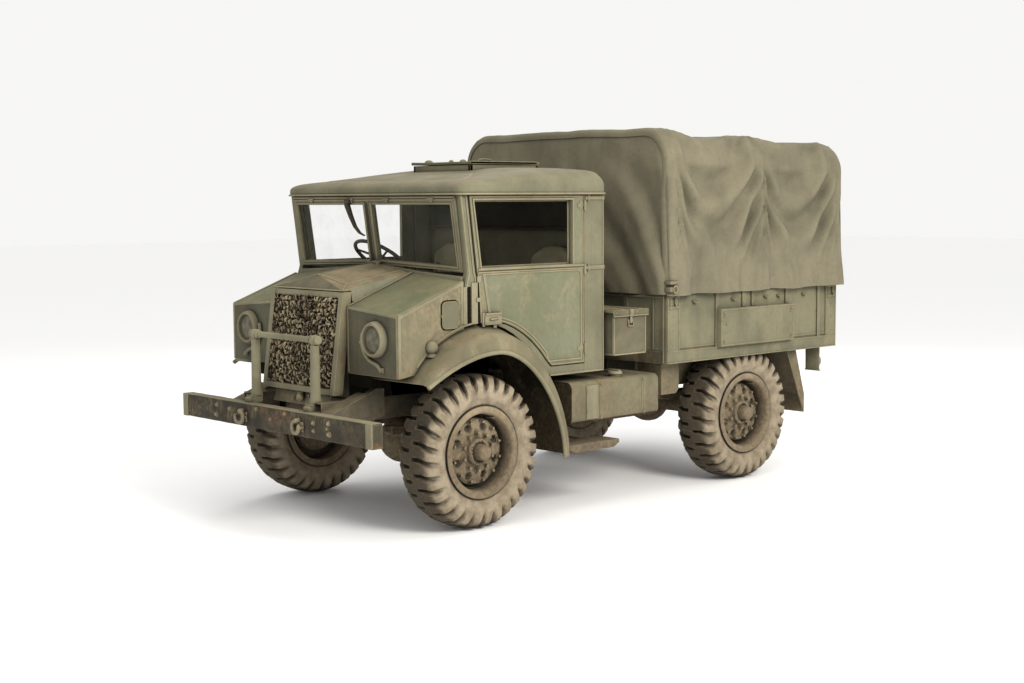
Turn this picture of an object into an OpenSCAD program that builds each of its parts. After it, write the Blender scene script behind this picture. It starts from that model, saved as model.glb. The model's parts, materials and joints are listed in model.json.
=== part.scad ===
// Four-wheel-drive military cargo truck with a forward cab and a canvas tilt.
// Millimetres, +Z up. The front faces -Y and the truck's left side is +X.
// The origin is on the ground, at the middle of the truck's length and width.
// Inside the modules, Y is counted rearward from the front axle.

/* [Running gear] */
// Distance between the front and rear axles
wheelbase = 2565; // [2500:5:2600]
// Outside radius of a tyre over its lugs
tyre_r = 486; // [480:1:490]
// Half of a tyre's width
tyre_half_w = 150; // [140:1:150]
// Distance of each tyre's middle from the centre line
track_half = 850; // [848:1:852]
// Distance of each steering pivot from the centre line
kingpin_x = 700; // [695:1:705]
// Rearward reach of the steering arms
steer_arm = 190; // [185:1:195]

/* [Chassis] */
// Outside face of each frame rail from the centre line
rail_x = 430; // [425:1:435]
// Underside of the frame rails
rail_z = 680; // [675:1:685]
// Depth of the frame rails
rail_h = 140; // [135:1:140]

/* [Cab] */
// Half of the cab's width over its side panels
cab_half = 900; // [896:1:902]
// Underside of the cab
cab_bottom = 904; // [902:1:908]
// Underside of the roof's drip edge
drip_z = 2083; // [2083:1:2090]
// Rear face of the cab
cab_rear = 1150; // [1145:1:1155]
// Height of the window sills in the doors
sill_z = 1629; // [1620:1:1640]
// Thickness of the doors
door_t = 38; // [30:1:40]

/* [Load bed] */
// Front face of the load bed
bed_front = 1645; // [1640:1:1650]
// Rear face of the load bed's side panels
bed_rear = 3572; // [3560:1:3575]
// Half of the load bed's width over its panels
bed_half = 1024; // [1022:1:1026]
// Underside of the load bed's side rails
bed_bottom = 915; // [912:1:918]
// Top face of the load bed's floor
floor_z = 1026; // [1024:1:1030]
// Top edge of the load bed's side panels
bed_top = 1450; // [1440:1:1460]

/* [Canvas tilt] */
// Highest point of the tilt
tilt_top = 2540; // [2530:5:2560]
// Lower edge of the tilt's side curtains
tilt_hem = 1392; // [1380:1:1400]
// Half of the tilt's width at its lower edge
tilt_half = 1080; // [1075:1:1085]

/* [Hidden] */
$fn = 48;

// Half of the whole length, and the front end's distance ahead of the front axle
front_end = 955;
length = 4570;
mid_y = length / 2 - front_end;

// Colours
olive = "#6d6d52";
olive_dark = "#4c4e3c";
olive_green = "#6f7a5c";
steel = "#5a5850";
mud = "#6e6250";
rubber = "#4f463a";
canvas = "#6c6a55";
seat_cloth = "#5b5847";

// Wheel places: height of the axles, and clearances of shafts in their bores
axle_z = tyre_r;
fit = 0.05;
spindle_r = 30;
pin_r = 16;

// Wheel sections, measured outboard from the middle of the tyre
rim_r = 262;
rim_inner_r = 245;
flange_r = 290;
flange_x = 126;
disc_x = 36;
drum_r = 190;
drum_x = -40;
hub_cap_x = 162;
plate_x = drum_x - 8;

// Leaf springs
spring_x = 395;
spring_w = 60;
leaf_t = 9;
leaf_count = 7;
spring_seat = axle_z + 60;
spring_camber = 42;
front_spring_half = 500;
rear_spring_half = 580;
eye_r = 22;
eye_pin_r = 12;
eye_z = spring_seat + leaf_count * leaf_t + spring_camber - eye_r + 12;

// Nose and hood
nose_front = -600;
nose_x = 392;
nose_rear = -84;
hood_half = 385;
grille_half = 345;
grille_top = 1487;

// Windscreen
screen_half = 862;
screen_base_y = -54;
screen_base_z = 1602;
screen_h = 481;
screen_t = 30;
screen_lean = 8.1;
screen_crown = 40;

// Doors and pillars
door_gap = 8;
door_rear = cab_rear - 193;
door_top = drip_z - 5;
door_bottom = 974;
door_x = cab_half + 5;
pillar_t = 38;

// Fender curves, as the corner points of two joined cubic curves
crown_front = [[-500, 955], [-380, 1120], [-170, 1236], [95, 1236]];
crown_rear = [[95, 1236], [370, 1236], [715, 870], [722, 395]];
lip_front = [[-505, 940], [-330, 1040], [-140, 1117], [60, 1117]];
lip_rear = [[60, 1117], [330, 1117], [620, 760], [632, 400]];
fender_centre = [60, 486];
fender_steps = 26;
fender_rise = 35;
fender_inner_x = 505;
fender_roll_x = 960;
fender_outer_x = 1070;
fender_t = 8;

// ---- Shared shapes ----

// A box between two corners
module span(x, y, z) translate([x[0], y[0], z[0]]) cube([x[1] - x[0], y[1] - y[0], z[1] - z[0]]);

// The children and their mirror image on the other side
module both_sides() {
    children();
    mirror([1, 0, 0]) children();
}

// Moves the axle-based coordinates of the modules to the row's origin
module from_axle() translate([0, -mid_y, 0]) children();

// A plate whose outline is given as [y, z] points, between two x values
module side_plate(x, outline)
    translate([x[0], 0, 0]) rotate([90, 0, 90]) linear_extrude(x[1] - x[0]) polygon(outline);

// A plate whose outline is given as [x, z] points, between two y values
module cross_plate(y, outline)
    translate([0, y[1], 0]) rotate([90, 0, 0]) linear_extrude(y[1] - y[0]) polygon(outline);

// A cylinder along X, Y or Z from a start point
module rod_x(p, r, l) translate(p) rotate([0, 90, 0]) cylinder(r = r, h = l);
module rod_y(p, r, l) translate(p) rotate([-90, 0, 0]) cylinder(r = r, h = l);
module rod_z(p, r, l) translate(p) cylinder(r = r, h = l);

// A round rod between two points
module rod(a, b, r) {
    d = b - a;
    l = norm(d);
    translate(a) rotate([0, acos(d[2] / l), atan2(d[1], d[0])]) cylinder(r = r, h = l);
}

// A box with rounded edges along Y
module soft_bar(x, y, z, r) translate([0, y[1], 0]) rotate([90, 0, 0]) linear_extrude(y[1] - y[0])
    hull() for (px = [x[0] + r, x[1] - r], pz = [z[0] + r, z[1] - r])
        translate([px, pz]) circle(r, $fn = 24);

// A point on a cubic curve with four corner points
function cubic(p, t) = pow(1 - t, 3) * p[0] + 3 * t * pow(1 - t, 2) * p[1]
    + 3 * t * t * (1 - t) * p[2] + pow(t, 3) * p[3];
// A point of a two-part fender curve, t from 0 at the front to 1 at the rear
function two_part(a, b, t) = t < 0.5 ? cubic(a, 2 * t) : cubic(b, 2 * t - 1);
function crown(t) = two_part(crown_front, crown_rear, t);
function lip(t) = two_part(lip_front, lip_rear, t);
// Direction from the wheel arch's middle to a point
function outward(p) = (p - fender_centre) / norm(p - fender_centre);
// The line where the fender meets the body's side, moved out by a gap
function root_line(t, gap) = crown(t) + (fender_rise * sin(180 * t) + gap) * outward(crown(t));

// ---- Chassis ----

// One frame rail with its spring brackets
module frame_rail() {
    difference() {
        span([rail_x - 70, rail_x], [-830, 3400], [rail_z, rail_z + rail_h]);
        span([rail_x - 71, rail_x - 8], [-831, 3401], [rail_z + 8, rail_z + rail_h - 8]);
    }
    for (s = [[0, front_spring_half], [wheelbase, rear_spring_half]], e = [-1, 1])
        spring_bracket(s[0] + e * s[1]);
}

// Two ears and a pin that hold one end of a spring
module spring_bracket(y) {
    for (x = [-spring_w / 2 - 9, spring_w / 2 + 1])
        span([spring_x + x, spring_x + x + 8], [y - 28, y + 28], [eye_z - 26, rail_z]);
    rod_x([spring_x - spring_w / 2 - 9, y, eye_z], eye_pin_r, spring_w + 18);
}

// The horn that widens the frame behind the bumper
module frame_horn() side_plate([rail_x, rail_x + 120],
    [[-838, 640], [-838, 762], [-500, 890], [-440, 890], [-440, 720]]);

module frame_rails() color(steel) from_axle() both_sides() {
    frame_rail();
    frame_horn();
}

module cross_members() color(steel) from_axle() {
    for (y = [-560, 1290, 2130, 2950, 3340])
        span([-rail_x + 8, rail_x - 8], [y, y + 60], [rail_z + 10, rail_z + rail_h - 10]);
    // Drawbar plate with its towing eye
    difference() {
        union() {
            span([-90, 90], [3400, 3560], [rail_z + 52, rail_z + 72]);
            rod_z([0, 3560, rail_z + 52], 55, 20);
        }
        rod_z([0, 3560, rail_z], 20, 200);
    }
}

// Brackets that carry the toolboxes, the fuel tanks, the cab and the steps below the doors
module frame_brackets() color(steel) from_axle() both_sides() {
    for (y = [1220, 1440]) {
        span([rail_x - 40, rail_x + 26], [y, y + 30], [rail_z + rail_h, box_z[0]]);
        span([rail_x - 40, box_x[0] + 150], [y, y + 30], [box_z[0] - 40, box_z[0]]);
    }
    for (y = [900, 1540]) span([rail_x, tank_x[0] - 1], [y, y + 50], [rail_z + 20, rail_z + 120]);
    for (y = [720, 1060]) span([rail_x - 60, rail_x], [y, y + 50], [rail_z + rail_h, cab_bottom]);
    for (y = [830, 1160]) {
        span([rail_x - 8, rail_x + 2], [y, y + 40], [400, rail_z]);
        span([rail_x - 8, 760], [y, y + 40], [400, 412]);
    }
    side_plate([750, 950], [[780, 412], [780, 436], [1250, 436], [1250, 412], [1200, 384], [830, 384]]);
}

// Height that the spring's camber adds at a distance y from its middle
function camber(y, reach) = spring_camber * pow(y / reach, 2);

// A spring's outline: the main leaf's curve on top, and steps below where each leaf ends
module spring(reach) rotate([90, 0, 90]) linear_extrude(spring_w, center = true) difference() {
    union() {
        polygon(concat(
            [for (i = [-5:5]) [i / 5 * reach, spring_seat + leaf_count * leaf_t + camber(i / 5 * reach, reach)]],
            [for (k = [0:leaf_count - 1], e = [1, 0]) let (y = reach * (1 - 0.68 * (k + 1 - e) / leaf_count))
                [y, spring_seat + (leaf_count - 1 - k) * leaf_t + camber(y, reach)]],
            [for (k = [leaf_count - 1:-1:0], e = [0, 1]) let (y = reach * (1 - 0.68 * (k + 1 - e) / leaf_count))
                [-y, spring_seat + (leaf_count - 1 - k) * leaf_t + camber(y, reach)]]));
        for (e = [-1, 1]) translate([e * reach, eye_z]) circle(eye_r);
    }
    for (e = [-1, 1]) translate([e * reach, eye_z]) circle(eye_pin_r + 0.3);
}

module leaf_springs() color(steel) from_axle() both_sides() {
    translate([spring_x, 0, 0]) spring(front_spring_half);
    translate([spring_x, wheelbase, 0]) spring(rear_spring_half);
}

module front_bumper() color(olive) from_axle() {
    difference() {
        span([-1045, 1045], [-914, -838], [614, 763]);
        span([-1037, 1037], [-906, -830], [622, 755]);
    }
    both_sides() tow_hook();
}

// An open ring hook on a plate at the bumper's face
module tow_hook() translate([313, 0, 676]) {
    span([-52, 52], [-922, -914], [-34, 34]);
    rod_y([0, -936, 36], 12, 20);
    translate([0, -937, 0]) rotate([90, 20, 0]) rotate_extrude(angle = 290) translate([36, 0]) circle(12);
    for (x = [-42, 42]) rod_y([x, -955 + (x > 0 ? 15 : 0), -24], 9, 40);
}

guard_x = 327;
guard_y = -800;
guard_top = 1200;

module brush_guard() color(olive) from_axle() {
    both_sides() {
        side_plate([guard_x - 30, guard_x + 30],
            [[-872, 763], [-872, 790], [-838, 806], [-775, 806], [-775, 763]]);
        translate([guard_x, guard_y, 800]) cylinder(r1 = 25, r2 = 21, h = guard_top - 800);
        translate([guard_x, guard_y, guard_top]) sphere(30);
    }
    rod_x([-guard_x, guard_y, guard_top], 19, 2 * guard_x);
}

// ---- Axles, engine and drive ----

// Tube with the swollen differential case, turned about the axle's own line
module axle_housing(diff_x, half) {
    translate([0, 0, axle_z]) rotate([0, 90, 0]) rotate_extrude() polygon(concat(
        [[0, -half], [52, -half], [52, diff_x - 190]],
        [for (a = [160:-20:20]) [70 + 85 * sin(a), diff_x + 130 * cos(a)]],
        [[52, diff_x + 190], [52, half], [0, half]]));
    both_sides() span([spring_x - 45, spring_x + 45], [-40, 40], [axle_z, spring_seat]);
}

module front_axle() color(mud) from_axle() {
    axle_housing(180, 630);
    rod_y([180, 60, axle_z], 62, 130);
    both_sides() difference() {
        union() {
            span([612, 640], [-48, 48], [axle_z - 112, axle_z + 112]);
            for (z = [-112, 86]) {
                span([620, kingpin_x], [-42, 42], [axle_z + z, axle_z + z + 26]);
                rod_z([kingpin_x, 0, axle_z + z], 42, 26);
            }
        }
        rod_z([kingpin_x, 0, axle_z - 120], pin_r + fit, 240);
    }
}

module rear_axle() color(mud) from_axle() translate([0, wheelbase, 0]) {
    axle_housing(0, track_half + plate_x - 10);
    rod_y([0, -230, axle_z], 62, 170);
    both_sides() translate([track_half, 0, axle_z]) {
        rod_x([plate_x - 14, 0, 0], 180, 6);
        rod_x([plate_x - 14, 0, 0], spindle_r, 80 - plate_x);
    }
}

module engine_block() color(steel) from_axle() span([-215, 215], [-330, 410], [700, 1200]);

module gearbox() color(steel) from_axle() {
    soft_bar([-135, 135], [410, 880], [600, 800], 50);
    soft_bar([-110, 250], [880, 1150], [470, 760], 60);
    for (p = [[180, 835], [0, 1150]]) rod_y([p[0], p[1], 530], 50, 45);
}

module propeller_shafts() color(steel) from_axle() {
    rod([180, 194, axle_z], [180, 831, 530], 30);
    rod([0, 1198, 530], [0, wheelbase - 233, axle_z], 34);
}

module exhaust() color(mud) from_axle() {
    rod_x([-250, 300, 740], 26, 34);
    translate([-250, 300, 740]) sphere(33);
    rod([-250, 300, 740], [-250, 700, 640], 26);
    translate([-250, 700, 640]) sphere(33);
    rod_y([-250, 700, 640], 26, 2560);
    soft_bar([-330, -170], [1380, 1980], [580, 670], 44);
}

tank_x = [460, 950];
tank_z = [567, 850];

module fuel_tanks() color(olive) from_axle() both_sides() {
    soft_bar(tank_x, [800, 1636], tank_z, 46);
    for (y = [1055, 1470]) soft_bar(tank_x + [-2, 3], [y, y + 32], tank_z + [-3, 3], 48);
    rod_z([860, 1300, tank_z[1] - 10], 40, 32);
}

// Splash panels ahead of and behind each rear wheel, and the liner inboard of it
module splash_plates() color(olive) from_axle() both_sides() {
    side_plate([660, 666], [[1712, 700], [1712, 905], [3068, 905], [3068, 760], [2900, 700]]);
    side_plate([700, 925], [[1700, 690], [1700, 900], [1712, 914], [1880, 914], [1880, 900], [1712, 900],
        [1712, 690]]);
    side_plate([913, 925], [[1700, 690], [1700, 900], [1880, 900], [1880, 720], [1850, 690]]);
    side_plate([690, 950], [[3068, 914], [3080, 914], [3292, 560], [3292, 420], [3280, 420], [3280, 556]]);
    side_plate([938, 950], [[3068, 914], [3180, 914], [3292, 560], [3292, 440], [3280, 440]]);
}

// ---- Wheels and steering ----

// Half of the tyre's section as [radius, half width] points
function tyre_side() = concat([[rim_r + 0.3, flange_x - 18], [flange_r + 4, flange_x - 10]],
    [for (a = [-40:10:70]) [385 + 82 * sin(a), tyre_half_w - 26 + 26 * cos(a)]],
    [[tyre_r - 8, tyre_half_w - 30], [tyre_r, tyre_half_w - 48]]);

module tyre() color(rubber) rotate([0, 90, 0]) rotate_extrude($fn = 96) {
    side = tyre_side();
    polygon(concat(side, [for (i = [len(side) - 1:-1:0]) [side[i][0], -side[i][1]]]));
}

// Rim, dished disc, brake drum, hub and cap turned as one section about the axle
module wheel() color(mud) rotate([0, 90, 0]) difference() {
    rotate_extrude($fn = 72) polygon([
        [0, drum_x], [drum_r, drum_x], [drum_r, 4], [rim_inner_r, 14], [rim_inner_r, -flange_x + 8],
        [flange_r, -flange_x], [flange_r, -flange_x + 8], [rim_r, -flange_x + 16],
        [rim_r, flange_x - 16], [flange_r, flange_x - 8], [flange_r, flange_x], [rim_inner_r, flange_x],
        [rim_inner_r, disc_x + 14], [215, disc_x], [150, disc_x + 26], [95, disc_x + 30],
        [88, disc_x + 66], [64, disc_x + 72], [60, hub_cap_x - 22], [46, hub_cap_x - 6], [24, hub_cap_x],
        [0, hub_cap_x]]);
    translate([0, 0, drum_x - 1]) cylinder(r = spindle_r + fit, h = 111);
}

// The place of a wheel: side is 1 on the left and -1 on the right
module at_wheel(side, y) from_axle() translate([side * track_half, y, axle_z])
    mirror([side < 0 ? 1 : 0, 0, 0]) children();

// The knuckle turns about its king pin and carries the wheel's spindle
module knuckle(ball_hole) color(mud) from_axle() {
    translate([kingpin_x, 0, axle_z]) {
        rod_z([0, 0, -135], pin_r, 270);
        rod_z([0, 0, -80], 48, 160);
        rod_x([0, 0, 0], 44, track_half + plate_x - kingpin_x - 8);
    }
    translate([track_half + plate_x - 14, 0, axle_z]) {
        rod_x([0, 0, 0], 180, 6);
        rod_x([0, 0, 0], spindle_r, 80 - plate_x);
    }
    // Steering arm with its ball pin
    difference() {
        union() {
            span([kingpin_x - 18, kingpin_x + 18], [30, steer_arm], [axle_z - 70, axle_z - 48]);
            rod_z([kingpin_x, steer_arm, axle_z - 70], 24, 22);
        }
        rod_z([kingpin_x, steer_arm, axle_z - 80], ball_hole, 40);
    }
}

module tie_rod() color(mud) from_axle() {
    rod_x([-kingpin_x, steer_arm, axle_z - 100], 15, 2 * kingpin_x);
    both_sides() {
        translate([kingpin_x, steer_arm, axle_z - 100]) sphere(24);
        rod_z([kingpin_x, steer_arm, axle_z - 100], 10, 60);
    }
}

// Steering wheel place: hub, and lean of the column from vertical
wheel_hub = [-440, 318, 1650];
column_lean = 37;
column_l = 540;

module on_column() translate(wheel_hub) rotate([-column_lean, 0, 0]) children();

module steering_wheel() color(olive_dark) from_axle() on_column() {
    rotate_extrude($fn = 64) translate([205, 0]) circle(13, $fn = 24);
    difference() {
        translate([0, 0, -30]) cylinder(r = 34, h = 44);
        translate([0, 0, -31]) cylinder(r = 14 + fit, h = 36);
    }
    for (a = [90, 210, 330]) rotate([0, 90, a]) translate([0, 0, 20]) cylinder(r = 8, h = 180);
}

// ---- Cab ----

// Samples of the root line between two values of t
function root_points(t0, t1, gap, n = 8) = [for (i = [0:n]) root_line(t0 + (t1 - t0) * i / n, gap)];

toe_upper = root_points(0.435, 0.72, 28);
toe_lower = root_points(0.435, 0.72, 14);

module cab_floor() color(olive_dark) from_axle() {
    // Floor behind the wheel arches and between them
    span([-855, 855], [680, 1118], [cab_bottom, cab_bottom + 20]);
    span([-490, 490], [560, 690], [cab_bottom, cab_bottom + 20]);
    // Toe boards over the wheel arches, with a hole for the steering column
    difference() {
        both_sides() side_plate([262, 855], concat(toe_upper,
            [[700, cab_bottom + 20], [700, cab_bottom]],
            [for (i = [len(toe_lower) - 1:-1:0]) toe_lower[i]]));
        on_column() translate([0, 0, -column_l - 60]) cylinder(r = 24, h = column_l);
    }
    // Cover over the engine, open below and in front
    difference() {
        span([-262, 262], [-34, 575], [cab_bottom, 1310]);
        span([-250, 250], [-40, 563], [cab_bottom - 1, 1298]);
    }
    // Boxes below the seats
    both_sides() difference() {
        span([300, 750], [640, 1060], [cab_bottom + 20, 1262]);
        span([312, 738], [652, 1048], [cab_bottom + 19, 1250]);
    }
}

module steering_column() color(steel) from_axle() on_column() {
    translate([0, 0, -column_l]) cylinder(r = 22, h = column_l - 36);
    translate([0, 0, -40]) cylinder(r = 14, h = 44);
}

// Lower front edge of a door: it leaves the fender's root line rearward
door_steps = 8;
function door_t_at(i) = 0.475 + 0.305 * i / door_steps;
function door_edge(i, gap) = root_line(door_t_at(i), 14 + 66 * i / door_steps + gap);

module cab_shell() color(olive) from_axle() {
    // Rear wall
    span([-cab_half, cab_half], [cab_rear - 30, cab_rear], [cab_bottom, drip_z]);
    both_sides() {
        // Quarter panel behind the door and the sill below it
        span([cab_half - pillar_t, cab_half], [door_rear + door_gap, cab_rear - 20], [cab_bottom, drip_z]);
        side_plate([cab_half - pillar_t, cab_half], concat(
            [for (i = [2:door_steps]) door_edge(i, -door_gap)],
            [[door_edge(door_steps, -door_gap)[0] + 36, door_bottom - door_gap],
                [cab_rear, door_bottom - door_gap], [cab_rear, cab_bottom], [680, cab_bottom]],
            [for (i = [door_steps:-1:2]) root_line(door_t_at(i), 5)]));
        // Front pillar: upright below the windscreen, leaning above it
        side_plate([cab_half - pillar_t, cab_half], [[-82, 1281], [-82, 1500], [-50, 1602], [-107, 2070],
            [-110, drip_z], [-48, drip_z], [12, 1602], [30, 1560], [30, 1281]]);
    }
    // Scuttle across the front, crowned to the middle
    cross_plate([nose_rear + 4, -34], [[-cab_half + 30, 1290], [-cab_half + 30, 1578], [-450, 1600],
        [0, 1640], [450, 1600], [cab_half - 30, 1578], [cab_half - 30, 1290], [490, 1290],
        [490, 840], [275, 840], [275, 1322], [-275, 1322], [-275, 840], [-490, 840], [-490, 1290]]);
}

// One level of the roof as a thin rounded slab
module roof_level(half, y, z, r) for (x = [-half + r, half - r], py = [y[0] + r, y[1] - r])
    translate([x, py, z]) cylinder(r = r, h = 6, $fn = 32);

module roof_body(inset) hull() {
    roof_level(927 - inset, [-134 + inset, 1168 - inset], drip_z - (inset > 0 ? 6 : 0), 60);
    roof_level(925 - inset, [-128 + inset, 1166 - inset], 2130 - inset, 60);
    roof_level(905 - inset, [-60 + inset, 1160 - inset], 2180 - inset, 60);
    roof_level(860 - inset, [60 + inset, 1150 - inset], 2222 - inset, 60);
    roof_level(640 - inset, [250 + inset, 1140 - inset], 2246 - inset, 80);
    roof_level(360 - inset, [420 + inset, 1130 - inset], 2262 - inset, 80);
}

hatch_x = 300;
hatch_y = [500, 1120];
hatch_z = 2284;

module cab_roof() color(olive) from_axle() {
    difference() {
        union() {
            roof_body(0);
            span([-hatch_x, hatch_x], hatch_y, [2240, hatch_z]);
        }
        roof_body(40);
        span([-hatch_x + 24, hatch_x - 24], [hatch_y[0] + 24, hatch_y[1] - 24], [2180, hatch_z + 1]);
    }
}

module roof_hatch_lid() color(olive_green) from_axle() {
    span([-hatch_x - 10, hatch_x + 10], [hatch_y[0] - 10, hatch_y[1] + 2], [hatch_z + 5, hatch_z + 21]);
    rod_x([-hatch_x + 40, hatch_y[1] + 8, hatch_z + 13], 8, 2 * hatch_x - 80);
}

// Leaning plane of the windscreen, local z up along it
module on_screen() translate([0, screen_base_y, screen_base_z]) rotate([screen_lean, 0, 0]) children();

function pane(s, grow) = [[s * (26 - grow), 62 - grow], [s * (26 - grow), screen_h - 57 + grow],
    [s * (screen_half - 50 + grow), screen_h - 57 + grow], [s * (screen_half - 50 + grow), 38 - grow]];

module windscreen_frame() color(olive) from_axle() on_screen() difference() {
    cross_plate([0, screen_t], [[-screen_half, 0], [-screen_half, screen_h], [screen_half, screen_h],
        [screen_half, 0], [0, screen_crown]]);
    for (s = [-1, 1]) cross_plate([-1, screen_t + 1], pane(s, 0));
}

module windscreen_glass() color("#9fb0aa") from_axle() on_screen()
    for (s = [-1, 1]) cross_plate([12, 18], pane(s, -0.5));

module seats() color(seat_cloth) from_axle() both_sides() {
    soft_bar([305, 745], [590, 1010], [1266, 1400], 45);
    cross_plate([1020, 1105], concat([[310, 1408], [310, 1600]],
        [for (a = [180:-15:0]) [525 + 215 * cos(a), 1600 + 130 * sin(a)]], [[740, 1408]]));
}

// ---- Nose and fenders ----

nose_top_inner = [[nose_front, 1400], [nose_rear, 1590]];
nose_top_outer = [[nose_front, 1362], [nose_rear, 1548]];

// The hollow box beside the grille that holds a headlamp
module nose_box() difference() {
    nose_hull(0);
    nose_hull(12);
    translate([688, nose_front - 50, 1212]) rotate([-90, 0, 0]) cylinder(r = 92, h = 200);
}

module nose_hull(inset) intersection() {
    hull() for (e = [0, 1]) {
        y = e == 0 ? nose_front + inset : nose_rear + (inset > 0 ? 10 : 0);
        translate([0, y, 0]) rotate([90, 0, 0]) linear_extrude(0.5) polygon([[nose_x + inset, 900],
            [nose_x + inset, nose_top_inner[e][1] - inset], [cab_half - inset, nose_top_outer[e][1] - inset],
            [cab_half - inset, 900]]);
    }
    side_plate([nose_x, cab_half], concat([[nose_front - 1, 985 + inset], [nose_front - 1, 1700],
        [0, 1700]], [for (i = [8:-1:0]) root_line(0.04 + 0.42 * i / 8, 8 + inset)]));
}

module nose_panels() color(olive) from_axle() {
    both_sides() {
        nose_box();
        // Upright of the grille surround
        side_plate([grille_half + 3, grille_half + 45], [[-619, grille_top], [-560, grille_top],
            [-640, 850], [-704, 850]]);
    }
    // Top and bottom members of the grille surround, and the apron below it
    side_plate([-grille_half - 4, grille_half + 4], [[-619, grille_top], [-560, grille_top],
        [-563, grille_top - 38], [-624, grille_top - 38]]);
    side_plate([-grille_half - 4, grille_half + 4], [[-704, 850], [-640, 850], [-636, 888], [-699, 888]]);
    side_plate([-300, 300], [[-690, 765], [-682, 765], [-650, 850], [-658, 850]]);
}

module grille() color(steel) from_axle()
    side_plate([-grille_half, grille_half], [[-672, 890], [-652, 890], [-580, grille_top - 40],
        [-600, grille_top - 40]]);

// One cross-section of the fender's skin at t: outer points, then inner points back
function fender_ring(t) = let (
    o = crown(t), l = lip(t), r = root_line(t, 0), n = outward(o),
    outer = concat([[fender_inner_x, r[0], r[1]], [cab_half - 40, r[0], r[1]]],
        [for (a = [0:18:90]) let (p = l + (o - l) * cos(a))
            [fender_roll_x + (fender_outer_x - fender_roll_x) * sin(a), p[0], p[1]]]),
    count = len(outer))
    concat(outer, [for (i = [count - 1:-1:0]) let (p = outer[i], roll = max(0, i - 1) / (count - 2))
        [p[0] - fender_t * roll, p[1] - fender_t * n[0] * (1 - 0.7 * roll),
            p[2] - fender_t * n[1] * (1 - 0.7 * roll)]]);

// A closed skin through rings of points
module skin(rings) {
    n = len(rings[0]);
    m = len(rings);
    polyhedron([for (r = rings) each r], concat(
        [for (i = [0:n / 2 - 2]) each [[i, i + 1, n - 1 - i], [i + 1, n - 2 - i, n - 1 - i]]],
        [for (j = [0:m - 2], i = [0:n - 1]) each
            [[(j + 1) * n + i, j * n + (i + 1) % n, j * n + i],
             [(j + 1) * n + i, (j + 1) * n + (i + 1) % n, j * n + (i + 1) % n]]],
        [for (i = [0:n / 2 - 2]) let (e = (m - 1) * n) each
            [[e + i, e + n - 1 - i, e + i + 1], [e + i + 1, e + n - 1 - i, e + n - 2 - i]]]));
}

module front_fender() {
    skin([for (j = [0:fender_steps]) fender_ring(j / fender_steps)]);
    // Apron between the fender and the frame
    side_plate([fender_inner_x - 9, fender_inner_x - 1], concat(
        root_points(0.14, 0.72, 0, 6), [[470, 830], [-330, 830]]));
}

module front_fenders() color(olive) from_axle() both_sides() front_fender();

// Hood sections: [y, half width, shoulder half width, side z, shoulder z, crown z]
hood_front = [-618, hood_half, 376, 1410, 1496, 1500];
hood_break = [-532, hood_half, 300, 1432, 1528, 1582];
hood_back = [-90, hood_half, 300, 1586, 1604, 1642];

module hood_section(s, dy) translate([0, s[0] + dy, 0]) rotate([90, 0, 0]) linear_extrude(0.5)
    polygon([[-s[1], s[3]], [-s[2], s[4]], [0, s[5]], [s[2], s[4]], [s[1], s[3]]]);

module hood() color(olive) from_axle() {
    difference() {
        hull() {
            hood_section(hood_front, 0);
            hood_section(hood_break, 0);
            hood_section(hood_back, 0);
        }
        translate([0, 0, -14]) hull() {
            hood_section(hood_front, 14);
            hood_section(hood_break, 4);
            hood_section(hood_back, 10);
        }
        // Room for the grille surround
        span([-hood_half - 1, hood_half + 1], [-640, -553], [1300, grille_top + 6]);
    }
    // Hinge at the middle of the rear edge
    span([-60, 60], [-112, -84], [1628, 1652]);
    rod_x([-60, -80, 1650], 6, 120);
}

// ---- Lamps ----

module headlamp() translate([688, nose_front, 1212]) rotate([90, 0, 0]) rotate_extrude()
    polygon([[0, -90], [60, -80], [88, -20], [88, 1], [107, 1], [107, 22], [99, 32], [90, 26],
        [60, 34], [0, 40]]);

module lamps() color("#8b8a76") from_axle() both_sides() {
    headlamp();
    // Side lamp on the fender
    translate([948, -389, 1091]) cylinder(r = 12, h = 70);
    translate([948, -389, 1172]) sphere(31);
    // Rear lamp on its bracket below the bed
    span([800, 930], [3500, 3510], [720, 914]);
    rod_y([865, 3510, 790], 48, 46);
}

// ---- Load bed ----

module bed_floor() color(olive_dark) from_axle() {
    span([-998, 998], [bed_front + 24, bed_rear - 2], [1000, floor_z]);
    both_sides() span([360, rail_x], [bed_front + 24, bed_rear - 20], [rail_z + rail_h, bed_bottom]);
    for (y = [bed_front + 30, 2000, 2330, 2740, 3110, bed_rear - 90])
        span([-690, 690], [y, y + 60], [bed_bottom, 1000]);
}

rib_y = [2155, 2450, 2555, 2950, 3340];

// One side of the bed: panel, lower rail, ribs, corner posts and the plate
module bed_side() {
    span([1000, bed_half - 6], [bed_front, bed_rear], [1000, bed_top]);
    span([999, bed_half + 6], [bed_front, bed_rear], [bed_bottom, 1003]);
    for (y = rib_y) span([1015, bed_half + 2], [y, y + 28], [1000, bed_top]);
    span([1015, bed_half + 6], [bed_front, bed_front + 120], [1000, bed_top]);
    span([1015, bed_half + 6], [bed_rear - 130, bed_rear], [1000, bed_top]);
    span([bed_half - 10, 1070], [2165, 3000], [1004, 1270]);
}

module bed_sides() color(olive) from_axle() {
    both_sides() bed_side();
    // Front wall with its lower and upper rails
    span([-1001, 1001], [bed_front, bed_front + 18], [1000, bed_top]);
    span([-1001, 1001], [bed_front - 10, bed_front + 18], [bed_bottom, 1000]);
    span([-1001, 1001], [bed_front - 8, bed_front + 10], [bed_top - 70, bed_top]);
    for (x = [-640, 0, 640]) span([x - 20, x + 20], [bed_front - 8, bed_front + 2], [1000, bed_top - 60]);
}

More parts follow.
